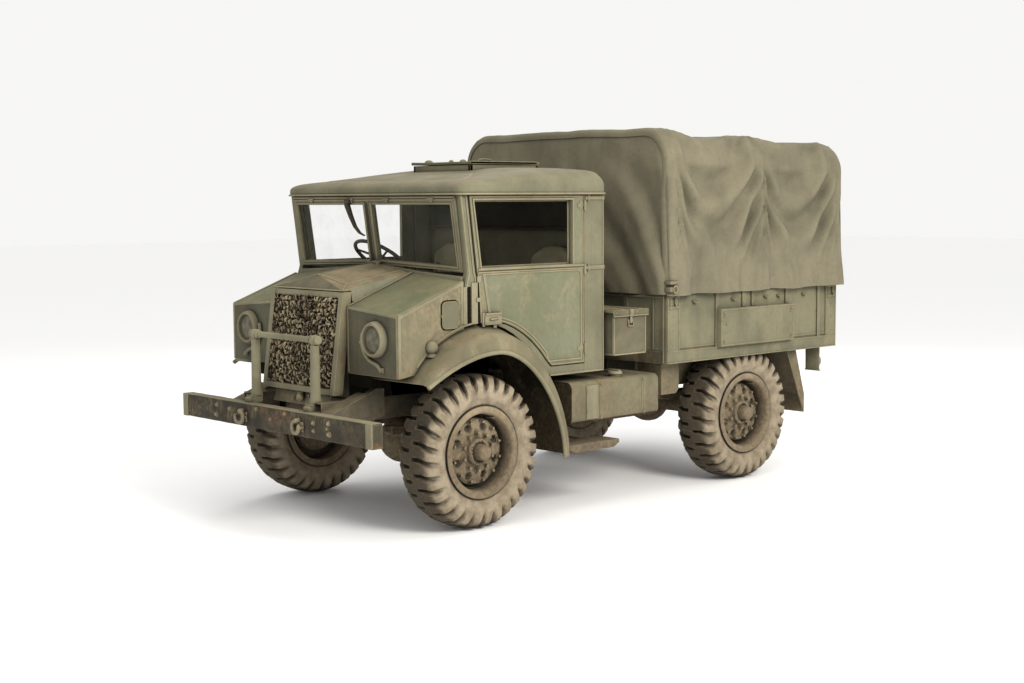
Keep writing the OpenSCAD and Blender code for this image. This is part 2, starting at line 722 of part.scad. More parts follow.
module tailgate() color(olive) from_axle() {
    span([-992, 992], [bed_rear + 6, bed_rear + 24], [1006, 1384]);
    for (x = [-960, -330, 300, 930]) span([x, x + 30], [bed_rear + 20, bed_rear + 32], [1006, 1384]);
    rod_x([-980, bed_rear + 15, 1004], 9, 1960);
}

bow_x = 975;
bow_r = 16;
bow_bend = 200;
tilt_slope = 1.87;

// How far the tilt's top lies below its highest point
function tilt_drop(y) = (y - 1622) * tan(tilt_slope);

// One hoop: two legs, two bends and the top tube
module bow(y) translate([0, y, 0]) {
    bow_top = tilt_top - 30 - tilt_drop(y);
    both_sides() {
        rod_z([bow_x, 0, floor_z], bow_r, bow_top - bow_bend - floor_z);
        translate([bow_x - bow_bend, 0, bow_top - bow_bend]) rotate([90, 0, 0])
            rotate_extrude(angle = 90) translate([bow_bend, 0]) circle(bow_r);
    }
    rod_x([-bow_x + bow_bend, 0, bow_top], bow_r, 2 * (bow_x - bow_bend));
}

module tilt_bows() color(steel) from_axle() for (y = [1705, 2640, 3530]) bow(y);

// The tilt's outline from the front, with rounded top corners, moved in by an inset
function tilt_outline(inset) = let (c = [1050 - 240, tilt_top - 240], r = 240 - inset,
    arc = [for (a = [0:10:90]) c + r * [cos(a), sin(a)]])
    concat([[tilt_half + 2 - inset, tilt_hem - 60]], arc, [for (i = [len(arc) - 1:-1:0]) [-arc[i][0], arc[i][1]]],
        [[-tilt_half - 2 + inset, tilt_hem - 60]]);

// The tilt's outline run rearward down its slope, cut square at both ends and at the hem
module tilt_block(inset, hem) intersection() {
    translate([0, 1622, tilt_top]) rotate([-tilt_slope, 0, 0]) translate([0, -100, -tilt_top])
        cross_plate([0, 2200], tilt_outline(inset));
    span([-1200, 1200], [1622 + inset, 3612 - inset], [hem, 2600]);
}

module canvas_tilt() color(canvas) from_axle() difference() {
    tilt_block(0, tilt_hem);
    tilt_block(10, tilt_hem - 20);
}

// ---- Toolboxes ----

box_x = [470, 960];
box_y = [1185, 1500];
box_z = [1003, 1285];

module toolboxes() color(olive) from_axle() both_sides() difference() {
    span(box_x, box_y, box_z);
    span([box_x[0] + 8, box_x[1] - 8], [box_y[0] + 8, box_y[1] - 8], [box_z[0] + 8, box_z[1] + 1]);
}

module toolbox_lid() color(olive_green) from_axle() {
    span([box_x[0] - 6, box_x[1] + 14], [box_y[0] - 14, box_y[1] + 14], [box_z[1] + 5, box_z[1] + 22]);
    span([box_x[1] + 6, box_x[1] + 14], [box_y[0] - 14, box_y[1] + 14], [box_z[1] - 22, box_z[1] + 6]);
    rod_y([box_x[0] - 8, box_y[0] + 20, box_z[1] + 13], 8, box_y[1] - box_y[0] - 40);
}

// ---- Doors ----

module door() color(olive) from_axle() {
    door_panel();
    // Hinge barrels and their leaves
    for (z = [1040, 1560, 1980]) {
        rod_z([door_x + 7, door_rear + 4, z], 9, 60);
        span([door_x - 1, door_x + 3], [door_rear - 40, door_rear + 3], [z, z + 60]);
    }
}

module door_panel() difference() {
    side_plate([door_x - door_t, door_x], concat([[door_rear, door_bottom], [door_rear, door_top],
        [-36, door_top], [24, 1604], [40, 1560]], [for (i = [0:door_steps]) door_edge(i, 0)],
        [[door_edge(door_steps, 0)[0] + 36, door_bottom]]));
    side_plate([door_x - door_t - 1, door_x + 1], [[2, door_top - 32], [62, sill_z], [852, sill_z],
        [852, door_top - 32]]);
}

frame_rails();
cross_members();
frame_brackets();
front_bumper();
brush_guard();
leaf_springs();
front_axle();
rear_axle();
engine_block();
gearbox();
propeller_shafts();
exhaust();
fuel_tanks();
splash_plates();
cab_floor();
steering_column();
cab_shell();
cab_roof();
windscreen_frame();
windscreen_glass();
seats();
nose_panels();
grille();
front_fenders();
lamps();
bed_floor();
bed_sides();
tilt_bows();
canvas_tilt();
toolboxes();
hood();
roof_hatch_lid();
toolbox_lid();  // toolbox_lid_left
mirror([1, 0, 0]) toolbox_lid();  // toolbox_lid_right
door();  // left_door
mirror([1, 0, 0]) door();  // right_door
tailgate();
steering_wheel();
knuckle(10 + fit);  // knuckle_left
mirror([1, 0, 0]) knuckle(12);  // knuckle_right
tie_rod();
at_wheel(1, 0) tyre();  // tyre_front_left
at_wheel(-1, 0) tyre();  // tyre_front_right
at_wheel(1, wheelbase) tyre();  // tyre_rear_left
at_wheel(-1, wheelbase) tyre();  // tyre_rear_right
at_wheel(1, 0) wheel();  // wheel_front_left
at_wheel(-1, 0) wheel();  // wheel_front_right
at_wheel(1, wheelbase) wheel();  // wheel_rear_left
at_wheel(-1, wheelbase) wheel();  // wheel_rear_right
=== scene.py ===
"""Looks of a military cargo truck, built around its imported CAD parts. Lengths in metres, in the row frame."""
import bmesh
import bpy
import json
import math
import random
from mathutils import Matrix, Vector, noise

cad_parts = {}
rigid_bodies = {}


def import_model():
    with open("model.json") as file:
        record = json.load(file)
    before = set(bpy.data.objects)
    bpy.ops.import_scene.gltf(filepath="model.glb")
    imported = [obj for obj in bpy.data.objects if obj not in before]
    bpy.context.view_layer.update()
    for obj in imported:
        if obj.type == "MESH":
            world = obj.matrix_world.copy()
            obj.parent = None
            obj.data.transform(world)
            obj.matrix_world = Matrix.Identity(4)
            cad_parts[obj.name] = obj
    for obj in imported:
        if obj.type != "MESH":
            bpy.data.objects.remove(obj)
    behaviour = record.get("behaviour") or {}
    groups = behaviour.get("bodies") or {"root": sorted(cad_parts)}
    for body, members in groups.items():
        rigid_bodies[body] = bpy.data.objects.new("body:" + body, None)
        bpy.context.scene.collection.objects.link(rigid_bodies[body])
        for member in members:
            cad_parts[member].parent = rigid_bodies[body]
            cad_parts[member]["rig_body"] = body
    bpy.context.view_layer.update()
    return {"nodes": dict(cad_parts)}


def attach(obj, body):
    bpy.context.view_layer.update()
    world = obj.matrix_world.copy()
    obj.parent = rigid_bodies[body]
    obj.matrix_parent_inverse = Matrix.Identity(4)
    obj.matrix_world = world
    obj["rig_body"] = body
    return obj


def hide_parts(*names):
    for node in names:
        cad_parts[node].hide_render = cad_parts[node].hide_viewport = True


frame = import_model()
rng = random.Random(7)
AXLE_Y = -1.33
REAR_Y = 1.235
AXLE_Z = 0.486
HALF_TRACK = 0.85


def at(x, y, z):
    """Point in the row frame from millimetres, with y counted rearward from the front axle."""
    return Vector((x, y - 1330, z)) / 1000


def lerp(a, b, t):
    return a + (b - a) * t


def smooth(a, b, t):
    t = min(1, max(0, (t - a) / (b - a)))
    return t * t * (3 - 2 * t)


# ---- Materials ----

class Nodes:
    """A short way to write node trees."""

    def __init__(self, name):
        self.mat = bpy.data.materials.new(name)
        self.mat.use_nodes = True
        self.tree = self.mat.node_tree
        self.shader = self.tree.nodes["Principled BSDF"]
        self.coord = self.add("ShaderNodeTexCoord").outputs["Object"]
        self.geo = self.add("ShaderNodeNewGeometry")

    def add(self, kind, **props):
        node = self.tree.nodes.new(kind)
        for k, v in props.items():
            setattr(node, k, v)
        return node

    def put(self, value, socket):
        if isinstance(value, bpy.types.NodeSocket):
            self.tree.links.new(value, socket)
        elif isinstance(value, tuple) and len(value) == 3 and socket.type == "RGBA":
            socket.default_value = (*value, 1)
        else:
            socket.default_value = value

    def math(self, op, a, b=0.0, clamp=False):
        node = self.add("ShaderNodeMath", operation=op, use_clamp=clamp)
        self.put(a, node.inputs[0])
        self.put(b, node.inputs[1])
        return node.outputs[0]

    def noise(self, scale, detail=4.0, rough=0.55, stretch=(1, 1, 1), warp=0.0):
        mapping = self.add("ShaderNodeMapping")
        self.put(self.coord, mapping.inputs[0])
        mapping.inputs["Scale"].default_value = stretch
        mapping.inputs["Location"].default_value = (scale * 0.37, scale * 0.11, scale * 0.53)
        node = self.add("ShaderNodeTexNoise")
        self.put(mapping.outputs[0], node.inputs["Vector"])
        for k, v in (("Scale", scale), ("Detail", detail), ("Roughness", rough), ("Distortion", warp)):
            node.inputs[k].default_value = v
        return node.outputs[0]

    def ramp(self, value, low, high):
        node = self.add("ShaderNodeMapRange", interpolation_type="SMOOTHSTEP")
        self.put(value, node.inputs[0])
        node.inputs[1].default_value = low
        node.inputs[2].default_value = high
        return node.outputs[0]

    def mix(self, fac, a, b, blend="MIX"):
        node = self.add("ShaderNodeMix", data_type="RGBA", blend_type=blend)
        self.put(fac, node.inputs[0])
        self.put(a, node.inputs[6])
        self.put(b, node.inputs[7])
        return node.outputs[2]

    def height(self):
        node = self.add("ShaderNodeSeparateXYZ")
        self.put(self.geo.outputs["Position"], node.inputs[0])
        return node.outputs[2]

    def up(self):
        node = self.add("ShaderNodeSeparateXYZ")
        self.put(self.geo.outputs["Normal"], node.inputs[0])
        return node.outputs[2]


def srgb(*c):
    return tuple(((v / 255 + 0.055) / 1.055) ** 2.4 if v > 10 else v / 255 / 12.92 for v in c)


TAN = srgb(150, 134, 103)
MUD = srgb(118, 103, 82)
RUST = srgb(108, 78, 50)
CAVITY_SHADE_TONE = srgb(34, 31, 24)


def weathered(name, base, deep, worn=TAN, rough=0.85, wear=0.8, dust=0.35, mud=0.5, rust=0.25, scuff=0.0,
              streak=0.35, bump=0.25, cavity_shade=0.75, metal=0.0, edge=0.006, grain=1.0, reach=0.07, shine=0.3,
              patch=None):
    """Old flat paint: blotches, streaks, rubbed edges with a painted highlight, dust on top, painted shade in
    corners, low mud, rust spots.
    """
    n = Nodes(name)
    blotch = n.ramp(n.noise(2.6, 6, 0.6, warp=0.4), 0.35, 0.68)
    colour = n.mix(blotch, base, deep)
    fine = n.noise(38, 5, 0.65)
    colour = n.mix(n.math("MULTIPLY", n.ramp(fine, 0.45, 0.72), 0.35), colour, tuple(v * 0.62 for v in base))
    if patch:
        colour = patch(n, colour)
    if streak:
        run = n.ramp(n.noise(9, 4, 0.6, stretch=(1, 1, 0.09)), 0.5, 0.75)
        colour = n.mix(n.math("MULTIPLY", run, streak), colour, tuple(v * 0.68 for v in deep))
    if scuff:
        chips = n.math("MULTIPLY", n.ramp(n.noise(4.2, 5, 0.62, warp=0.8), 0.47, 0.66),
                       n.ramp(n.noise(55, 6, 0.7, stretch=(1, 1, 0.5)), 0.36, 0.6))
        colour = n.mix(n.math("MULTIPLY", chips, scuff), colour, worn)
    if dust:
        settled = n.math("MULTIPLY", n.ramp(n.up(), 0.35, 0.95), n.ramp(n.noise(5, 6, 0.65), 0.3, 0.7))
        colour = n.mix(n.math("MULTIPLY", settled, dust), colour, worn)
    if rust:
        spots = n.math("MULTIPLY", n.ramp(n.noise(3.1, 4, 0.6, warp=1.0), 0.55, 0.7),
                       n.ramp(n.noise(24, 6, 0.7), 0.42, 0.62))
        colour = n.mix(n.math("MULTIPLY", spots, rust), colour, RUST)
    if mud:
        low = n.ramp(n.math("ADD", n.height(), n.math("MULTIPLY", n.noise(6, 5, 0.6), 0.5)), 1.2, 0.72)
        colour = n.mix(n.math("MULTIPLY", low, mud), colour, n.mix(n.ramp(fine, 0.3, 0.7), MUD, tuple(
            v * 0.45 for v in MUD)))
    # Rubbed paint along the edges, and also a painted highlight: the bevel mask lightens nearly every sharp
    # edge, convex or concave.
    if wear:
        bevel = n.add("ShaderNodeBevel", samples=4)
        bevel.inputs[0].default_value = edge
        dot = n.add("ShaderNodeVectorMath", operation="DOT_PRODUCT")
        n.put(bevel.outputs[0], dot.inputs[0])
        n.put(n.geo.outputs["Normal"], dot.inputs[1])
        line = n.ramp(n.math("SUBTRACT", 1.0, dot.outputs["Value"]), 0.004, 0.09)
        line = n.math("MULTIPLY", line, n.ramp(n.noise(17, 4, 0.6), 0.25, 0.6))
        colour = n.mix(n.math("MULTIPLY", line, wear), colour, worn)
    # Painted shade: ambient occlusion darkens corners, creases and recesses towards a near-black tone.
    if cavity_shade:
        ao = n.add("ShaderNodeAmbientOcclusion", samples=4)
        ao.inputs["Distance"].default_value = reach
        corner = n.ramp(ao.outputs["AO"], 0.88, 0.35)
        colour = n.mix(n.math("MULTIPLY", corner, cavity_shade), colour, CAVITY_SHADE_TONE)
    n.put(colour, n.shader.inputs["Base Color"])
    n.put(n.math("ADD", n.math("MULTIPLY", n.noise(12, 4), 0.2), rough - 0.12), n.shader.inputs["Roughness"])
    n.shader.inputs["Metallic"].default_value = metal
    n.shader.inputs["Specular IOR Level"].default_value = shine
    relief = n.math("ADD", n.math("MULTIPLY", n.noise(16 * grain, 5, 0.6), 0.7), n.math(
        "MULTIPLY", n.noise(120 * grain, 3, 0.6), 0.25))
    node = n.add("ShaderNodeBump")
    node.inputs["Strength"].default_value = bump
    node.inputs["Distance"].default_value = 0.01
    n.put(relief, node.inputs["Height"])
    n.put(node.outputs[0], n.shader.inputs["Normal"])
    return n.mat


def sidewall(n, colour):
    """Pale dried mud on the sides of the tyres, inside the lugs."""
    xyz = n.add("ShaderNodeSeparateXYZ")
    n.put(n.coord, xyz.inputs[0])
    y = n.math("SUBTRACT", xyz.outputs[1], (AXLE_Y + REAR_Y) / 2)
    y = n.math("SUBTRACT", n.math("ABSOLUTE", y), (REAR_Y - AXLE_Y) / 2)
    z = n.math("SUBTRACT", xyz.outputs[2], AXLE_Z)
    r = n.math("SQRT", n.math("ADD", n.math("MULTIPLY", y, y), n.math("MULTIPLY", z, z)))
    side = n.ramp(n.math("ADD", r, n.math("MULTIPLY", n.noise(30, 5), 0.04)), 0.5, 0.465)
    out = n.math("ABSOLUTE", n.math("SUBTRACT", n.math("ABSOLUTE", xyz.outputs[0]), HALF_TRACK))
    pale = n.mix(n.ramp(n.noise(14, 5, 0.6), 0.35, 0.65), srgb(152, 140, 119), srgb(124, 112, 93))
    return n.mix(n.math("MULTIPLY", side, n.ramp(out, 0.085, 0.125)), colour, pale)


OLIVE = srgb(117, 112, 89)
OLIVE_DEEP = srgb(92, 92, 74)
GREEN = srgb(106, 108, 83)
GREEN_DEEP = srgb(88, 90, 68)

MAT = {
    "body": weathered("olive_paint", OLIVE, OLIVE_DEEP, rust=0.35),
    "cab": weathered("cab_paint", srgb(114, 111, 89), srgb(98, 96, 77), mud=0.3, rust=0.2, streak=0.3),
    "door": weathered("door_paint", srgb(110, 111, 90), srgb(102, 103, 80), mud=0.2, rust=0.2, scuff=0.45),
    "nose": weathered("nose_paint", srgb(118, 112, 88), srgb(98, 92, 72), mud=0.2, rust=0.5, scuff=0.5),
    "nose_top": weathered("nose_top_paint", srgb(104, 107, 80), srgb(92, 95, 70), mud=0, rust=0.25,
                          scuff=0.25, dust=0.25),
    # Painted shade: a darker copy of the nose paint for the faces that turn to the front.
    "shade": weathered("nose_front_painted_shade", srgb(88, 86, 68), srgb(70, 68, 54), mud=0.3, rust=0.35,
                       streak=0.5),
    # Near-black underside finish: some mud, and painted shade on faces that turn down or in towards the wheels.
    "arch": weathered("underside_mud_and_painted_shade", srgb(38, 34, 26), srgb(26, 23, 18), worn=srgb(92, 80, 60), mud=0.35,
                      rust=0.3, scuff=0.5, wear=0.2, dust=0.1, shine=0.05),
    "hood": weathered("hood_paint", srgb(108, 100, 77), srgb(86, 79, 60), mud=0, rust=0.4, scuff=0.4,
                      dust=0.6, bump=0.5),
    "hood_side": weathered("hood_side_paint", srgb(120, 122, 102), srgb(106, 107, 88), mud=0, rust=0.2,
                           scuff=0.2),
    "box": weathered("toolbox_paint", srgb(104, 100, 79), srgb(82, 79, 62), rust=0.4),
    "green": weathered("green_paint", GREEN, GREEN_DEEP, mud=0.3, rust=0.35),
    "tank": weathered("tank_paint", srgb(108, 104, 82), srgb(92, 87, 68), mud=0.4, rust=0.5, scuff=0.25),
    "rail": weathered("rail_paint", srgb(82, 76, 59), srgb(64, 58, 44), mud=0.4, rust=0.7, scuff=0.3),
    "trim": weathered("trim_paint", srgb(132, 126, 102), srgb(110, 106, 84), mud=0.2, rust=0.2, dust=0.3),
    "dirty": weathered("dirty_paint", srgb(108, 100, 78), srgb(84, 78, 60), mud=0.7, rust=0.7, scuff=0.5,
                       bump=0.6),
    "frame": weathered("frame_steel", srgb(86, 81, 66), srgb(62, 58, 47), mud=0.7, rust=0.55, bump=0.6),
    "axle": weathered("muddy_iron", srgb(98, 86, 68), srgb(66, 58, 46), mud=0.8, rust=0.5, bump=0.9,
                      wear=0.5),
    "wheel": weathered("wheel_paint", srgb(148, 134, 109), srgb(112, 99, 79), mud=0.75, rust=0.35, bump=1.0,
                       wear=0.7, cavity_shade=0.95, dust=0.2),
    "tyre": weathered("muddy_rubber", srgb(74, 66, 53), srgb(46, 41, 32), worn=srgb(122, 110, 90), mud=0.2,
                      rust=0, bump=1.0, wear=0.7, cavity_shade=1.0, rough=0.95, dust=0.25, edge=0.01, grain=1.6,
                      streak=0, patch=sidewall),
    # Painted shade: dark paint for the floors, the dashboard and the cab's rear wall, where shade falls inside;
    # the wipers share it as their own dark finish.
    "inside": weathered("dark_paint_and_interior_shade", srgb(58, 56, 44), srgb(44, 42, 33), mud=0.1, rust=0.2, wear=0.3),
    "seat": weathered("seat_cloth", srgb(158, 151, 124), srgb(122, 116, 94), mud=0, rust=0, wear=0.25,
                      streak=0.1, rough=0.95, bump=0.3),
    # Painted shade reaches far into the valleys of the canvas folds.
    "canvas": weathered("canvas_cloth", srgb(117, 111, 91), srgb(101, 96, 78), worn=srgb(138, 130, 107),
                        mud=0, rust=0, wear=0.15, streak=0.3, dust=0.2, rough=0.96, cavity_shade=0.9, bump=0.3,
                        grain=2.2, reach=0.28),
    "bumper": weathered("bumper_paint", srgb(58, 54, 42), srgb(40, 37, 29), mud=0.1, rust=0.85, scuff=0.3,
                        bump=0.9, streak=0.5),
    "pale": weathered("bare_steel", srgb(150, 138, 112), srgb(112, 102, 82), mud=0.15, rust=0.25, bump=0.7),
    "lamp": weathered("lamp_paint", srgb(128, 123, 100), srgb(104, 100, 80), mud=0.1, rust=0.25),
    "net": weathered("netting", srgb(176, 160, 128), srgb(112, 99, 76), worn=srgb(196, 180, 148), mud=0,
                     rust=0.15, wear=0.5, cavity_shade=1.0, rough=0.95),
    "engine": weathered("oily_iron", srgb(70, 66, 55), srgb(46, 43, 36), mud=0.3, rust=0.5, wear=0.4,
                        bump=0.8),
    "exhaust": weathered("rusty_steel", srgb(92, 70, 50), srgb(64, 50, 38), mud=0.5, rust=0.8, wear=0.3,
                         bump=0.9),
    "rim": weathered("worn_bakelite", srgb(62, 60, 50), srgb(44, 42, 35), mud=0, rust=0, wear=0.7, rough=0.6,
                     bump=0.1),
    "black": weathered("dark_backing", srgb(24, 21, 16), srgb(16, 14, 11), mud=0, rust=0, wear=0, cavity_shade=0,
                       dust=0.2, shine=0.02),
}


def glass():
    n = Nodes("dusty_glass")
    film = n.ramp(n.noise(5, 5, 0.6, warp=0.5), 0.35, 0.75)
    n.put(n.mix(film, srgb(170, 174, 160), srgb(120, 116, 96)), n.shader.inputs["Base Color"])
    n.shader.inputs["Roughness"].default_value = 0.12
    n.put(n.math("ADD", n.math("MULTIPLY", film, 0.05), 0.02), n.shader.inputs["Alpha"])
    return n.mat


def lens():
    n = Nodes("lamp_lens")
    film = n.ramp(n.noise(22, 5, 0.6), 0.3, 0.7)
    n.put(n.mix(film, srgb(108, 105, 88), srgb(80, 77, 63)), n.shader.inputs["Base Color"])
    n.put(n.math("ADD", n.math("MULTIPLY", film, 0.3), 0.45), n.shader.inputs["Roughness"])
    n.shader.inputs["Specular IOR Level"].default_value = 0.25
    return n.mat


MAT["glass"] = glass()
MAT["lens"] = lens()

# ---- Building blocks ----


def piece(name, mesh, mat, body, stands_for=()):
    """An object of a finished mesh that rides on a body, with a finish and a material slot."""
    obj = bpy.data.objects.new(name, mesh)
    bpy.context.scene.collection.objects.link(obj)
    mesh.materials.clear()
    mesh.materials.append(MAT[mat])
    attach(obj, body)
    for node in stands_for:
        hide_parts(node)
    return obj


def from_bmesh(bm, name, angle=35):
    """Mesh with consistent normals, smooth but for edges sharper than angle."""
    bmesh.ops.recalc_face_normals(bm, faces=bm.faces)
    mesh = bpy.data.meshes.new(name)
    for f in bm.faces:
        f.smooth = True
    limit = math.radians(angle)
    for e in bm.edges:
        e.smooth = len(e.link_faces) == 2 and e.calc_face_angle(0) < limit
    bm.to_mesh(mesh)
    bm.free()
    return mesh


def bevelled(bm, width, angle=30, segments=2):
    """Rounds every edge sharper than angle."""
    limit = math.radians(angle)
    edges = [e for e in bm.edges if len(e.link_faces) == 2 and e.calc_face_angle(0) > limit]
    if edges and width:
        bmesh.ops.bevel(bm, geom=edges, offset=width, segments=segments, profile=0.5, affect="EDGES",
                        clamp_overlap=True)


def cleaned(node):
    """The CAD node's mesh as one welded bmesh without needless edges."""
    bm = bmesh.new()
    bm.from_mesh(frame["nodes"][node].data)
    bmesh.ops.remove_doubles(bm, verts=bm.verts, dist=0.00005)
    bmesh.ops.dissolve_limit(bm, angle_limit=math.radians(1.0), verts=bm.verts, edges=bm.edges)
    return bm


def refined(node, mat, bevel=3.0, angle=30, segments=2):
    """The CAD node's own shape with rounded edges and a finish."""
    obj = frame["nodes"][node]
    bm = cleaned(node)
    bevelled(bm, bevel / 1000, angle, segments)
    return piece(node + "_skin", from_bmesh(bm, node), mat, obj["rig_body"], [node])


def grid_mesh(bm, rows, closed_u=False, closed_v=False):
    """Quads between rows of points. closed_u joins each row's ends, closed_v the last row to the first."""
    verts = [[bm.verts.new(p) for p in row] for row in rows]
    nv, nu = len(verts), len(verts[0])
    for j in range(nv if closed_v else nv - 1):
        for i in range(nu if closed_u else nu - 1):
            a, b = verts[j][i], verts[j][(i + 1) % nu]
            c, d = verts[(j + 1) % nv][(i + 1) % nu], verts[(j + 1) % nv][i]
            if len({a, b, c, d}) == 4:
                bm.faces.new((a, b, c, d))
    return verts


def box(bm, low, high, bevel=0.0):
    """A box from corner to corner with rounded edges."""
    made = bmesh.ops.create_cube(bm, size=1)["verts"]
    low, high = Vector(low), Vector(high)
    for v in made:
        v.co = Vector([lerp(min(low[k], high[k]), max(low[k], high[k]), v.co[k] + 0.5) for k in range(3)])
    if bevel:
        edges = list({e for v in made for e in v.link_edges})
        bmesh.ops.bevel(bm, geom=edges, offset=bevel, segments=2, profile=0.5, affect="EDGES",
                        clamp_overlap=True)


def frame_of(direction):
    """Two unit vectors across a direction."""
    d = direction.normalized()
    side = d.cross(Vector((0, 0, 1)) if abs(d.z) < 0.9 else Vector((1, 0, 0))).normalized()
    return side, side.cross(d).normalized()


def tube(bm, points, radius, sides=16, closed=False, flat=1.0):
    """A rod through points. radius is a number or one per point."""
    rows = []
    n = len(points)
    side, up = frame_of(points[1] - points[0])
    for i, p in enumerate(points):
        if closed:
            d = points[(i + 1) % n] - points[i - 1]
        else:
            d = points[min(i + 1, n - 1)] - points[max(i - 1, 0)]
        d.normalize()
        side = (side - d * side.dot(d)).normalized()
        up = side.cross(d)
        r = radius[i] if isinstance(radius, (list, tuple)) else radius
        rows.append([p + side * math.cos(a) * r + up * math.sin(a) * r * flat
                     for a in [2 * math.pi * k / sides for k in range(sides)]])
    verts = grid_mesh(bm, rows, closed_u=True, closed_v=closed)
    if not closed:
        bm.faces.new(verts[0][::-1])
        bm.faces.new(verts[-1])


def turned(bm, centre, axis, profile, sides=32):
    """A turned body: profile is [(radius, distance along axis)] from end to end."""
    axis = Vector(axis).normalized()
    side, up = frame_of(axis)
    rows = []
    for r, h in profile:
        c = centre + axis * h
        if r < 1e-6:
            rows.append([bm.verts.new(c)] * sides)
        else:
            rows.append([bm.verts.new(c + side * math.cos(a) * r + up * math.sin(a) * r)
                         for a in [2 * math.pi * k / sides for k in range(sides)]])
    for lo, hi in zip(rows, rows[1:]):
        for i in range(sides):
            k = (i + 1) % sides
            quad = [lo[i], lo[k], hi[k], hi[i]]
            quad = [v for j, v in enumerate(quad) if v not in quad[:j]]
            if len(quad) > 2:
                bm.faces.new(quad)
    for row, end in ((rows[0], profile[0]), (rows[-1], profile[-1])):
        if end[0] > 1e-6:
            bm.faces.new(row)


def bolt(bm, p, axis, r=0.009, h=0.007):
    """A hexagon head on a washer."""
    axis = Vector(axis).normalized()
    turned(bm, Vector(p), axis, [(r * 1.35, 0), (r * 1.35, h * 0.25), (r * 1.2, h * 0.3)], 14)
    turned(bm, Vector(p) + axis * h * 0.25, axis, [(r, 0), (r, h * 0.7), (r * 0.8, h)], 6)


def rivet(bm, p, axis, r=0.006):
    turned(bm, Vector(p), axis, [(r, -0.001), (r, r * 0.15), (r * 0.7, r * 0.5), (0, r * 0.65)], 10)


def done(bm, name, mat, body="chassis", stands_for=(), angle=35):
    return piece(name, from_bmesh(bm, name, angle), mat, body, stands_for)


def second(obj, mat, test):
    """Another finish on the faces that pass a test."""
    obj.data.materials.append(MAT[mat])
    for f in obj.data.polygons:
        if test(f):
            f.material_index = len(obj.data.materials) - 1


def strip(bm, points, width, proud, normal, closed=False, bevel=0.0015):
    """A flat bead that follows points in a plane, standing proud along normal."""
    normal = Vector(normal).normalized()
    n = len(points)
    rows = []
    for i, p in enumerate(points):
        before = points[i - 1] if closed or i else p
        after = points[(i + 1) % n] if closed or i < n - 1 else p
        d0, d1 = (p - before), (after - p)
        d0 = d0.normalized() if d0.length else d1.normalized()
        d1 = d1.normalized() if d1.length else d0
        s0, s1 = d0.cross(normal), d1.cross(normal)
        s = (s0 + s1).normalized()
        s *= width / 2 / max(0.4, s.dot(s0))
        b = bevel / (width / 2)
        rows.append([p - s, p - s + normal * (proud - bevel), p - s * (1 - b) + normal * proud,
                     p + s * (1 - b) + normal * proud, p + s + normal * (proud - bevel), p + s])
    verts = grid_mesh(bm, rows, closed_u=False, closed_v=closed)
    if not closed:
        bm.faces.new(verts[0])
        bm.faces.new(verts[-1][::-1])


def rough_up(bm, amount, scale, seed=0.0):
    """Pushes each vertex along its normal by noise."""
    bm.normal_update()
    for v in bm.verts:
        q = v.co * scale + Vector((seed, seed * 0.7, -seed))
        v.co += v.normal * noise.noise(q) * amount


def cubic(p, t):
    """A point on a cubic curve with four (y, z) corner points."""
    w = ((1 - t) ** 3, 3 * t * (1 - t) ** 2, 3 * t * t * (1 - t), t ** 3)
    return Vector((sum(w[k] * p[k][0] for k in range(4)), sum(w[k] * p[k][1] for k in range(4))))


# ---- Tyres and wheels ----

TREAD_TOP = [(0, 486), (22, 486), (48, 485), (74, 482), (95, 475), (112, 463), (124, 447), (132, 430),
             (137, 412), (139, 395), (138.5, 378), (136, 360), (132, 344), (127, 328), (121, 314), (117, 303),
             (110, 296), (107, 286), (107, 264)]
TREAD_LOW = [(0, 452), (22, 452), (48, 451), (70, 447), (86, 440), (98, 429), (108, 416), (117, 403),
             (124, 391), (129, 380), (132, 368), (133, 355), (131, 341), (127, 328), (121, 314), (117, 303),
             (110, 296), (107, 286), (107, 264)]
LUG_STOPS = [0.0, 0.06, 0.1, 0.145, 0.25, 0.355, 0.4, 0.44, 0.5, 0.56, 0.6, 0.645, 0.75, 0.855, 0.9, 0.94]
LUGS = 30


def lug(f, x):
    """1 on a lug, 0 in a groove, for a share f of the pitch. Grooves widen to the shoulder."""
    f = f % 1
    d = min(f, 1 - f)
    wide = smooth(40, 130, x)
    return smooth(0.045 + 0.05 * wide, 0.14 + 0.1 * wide, d)


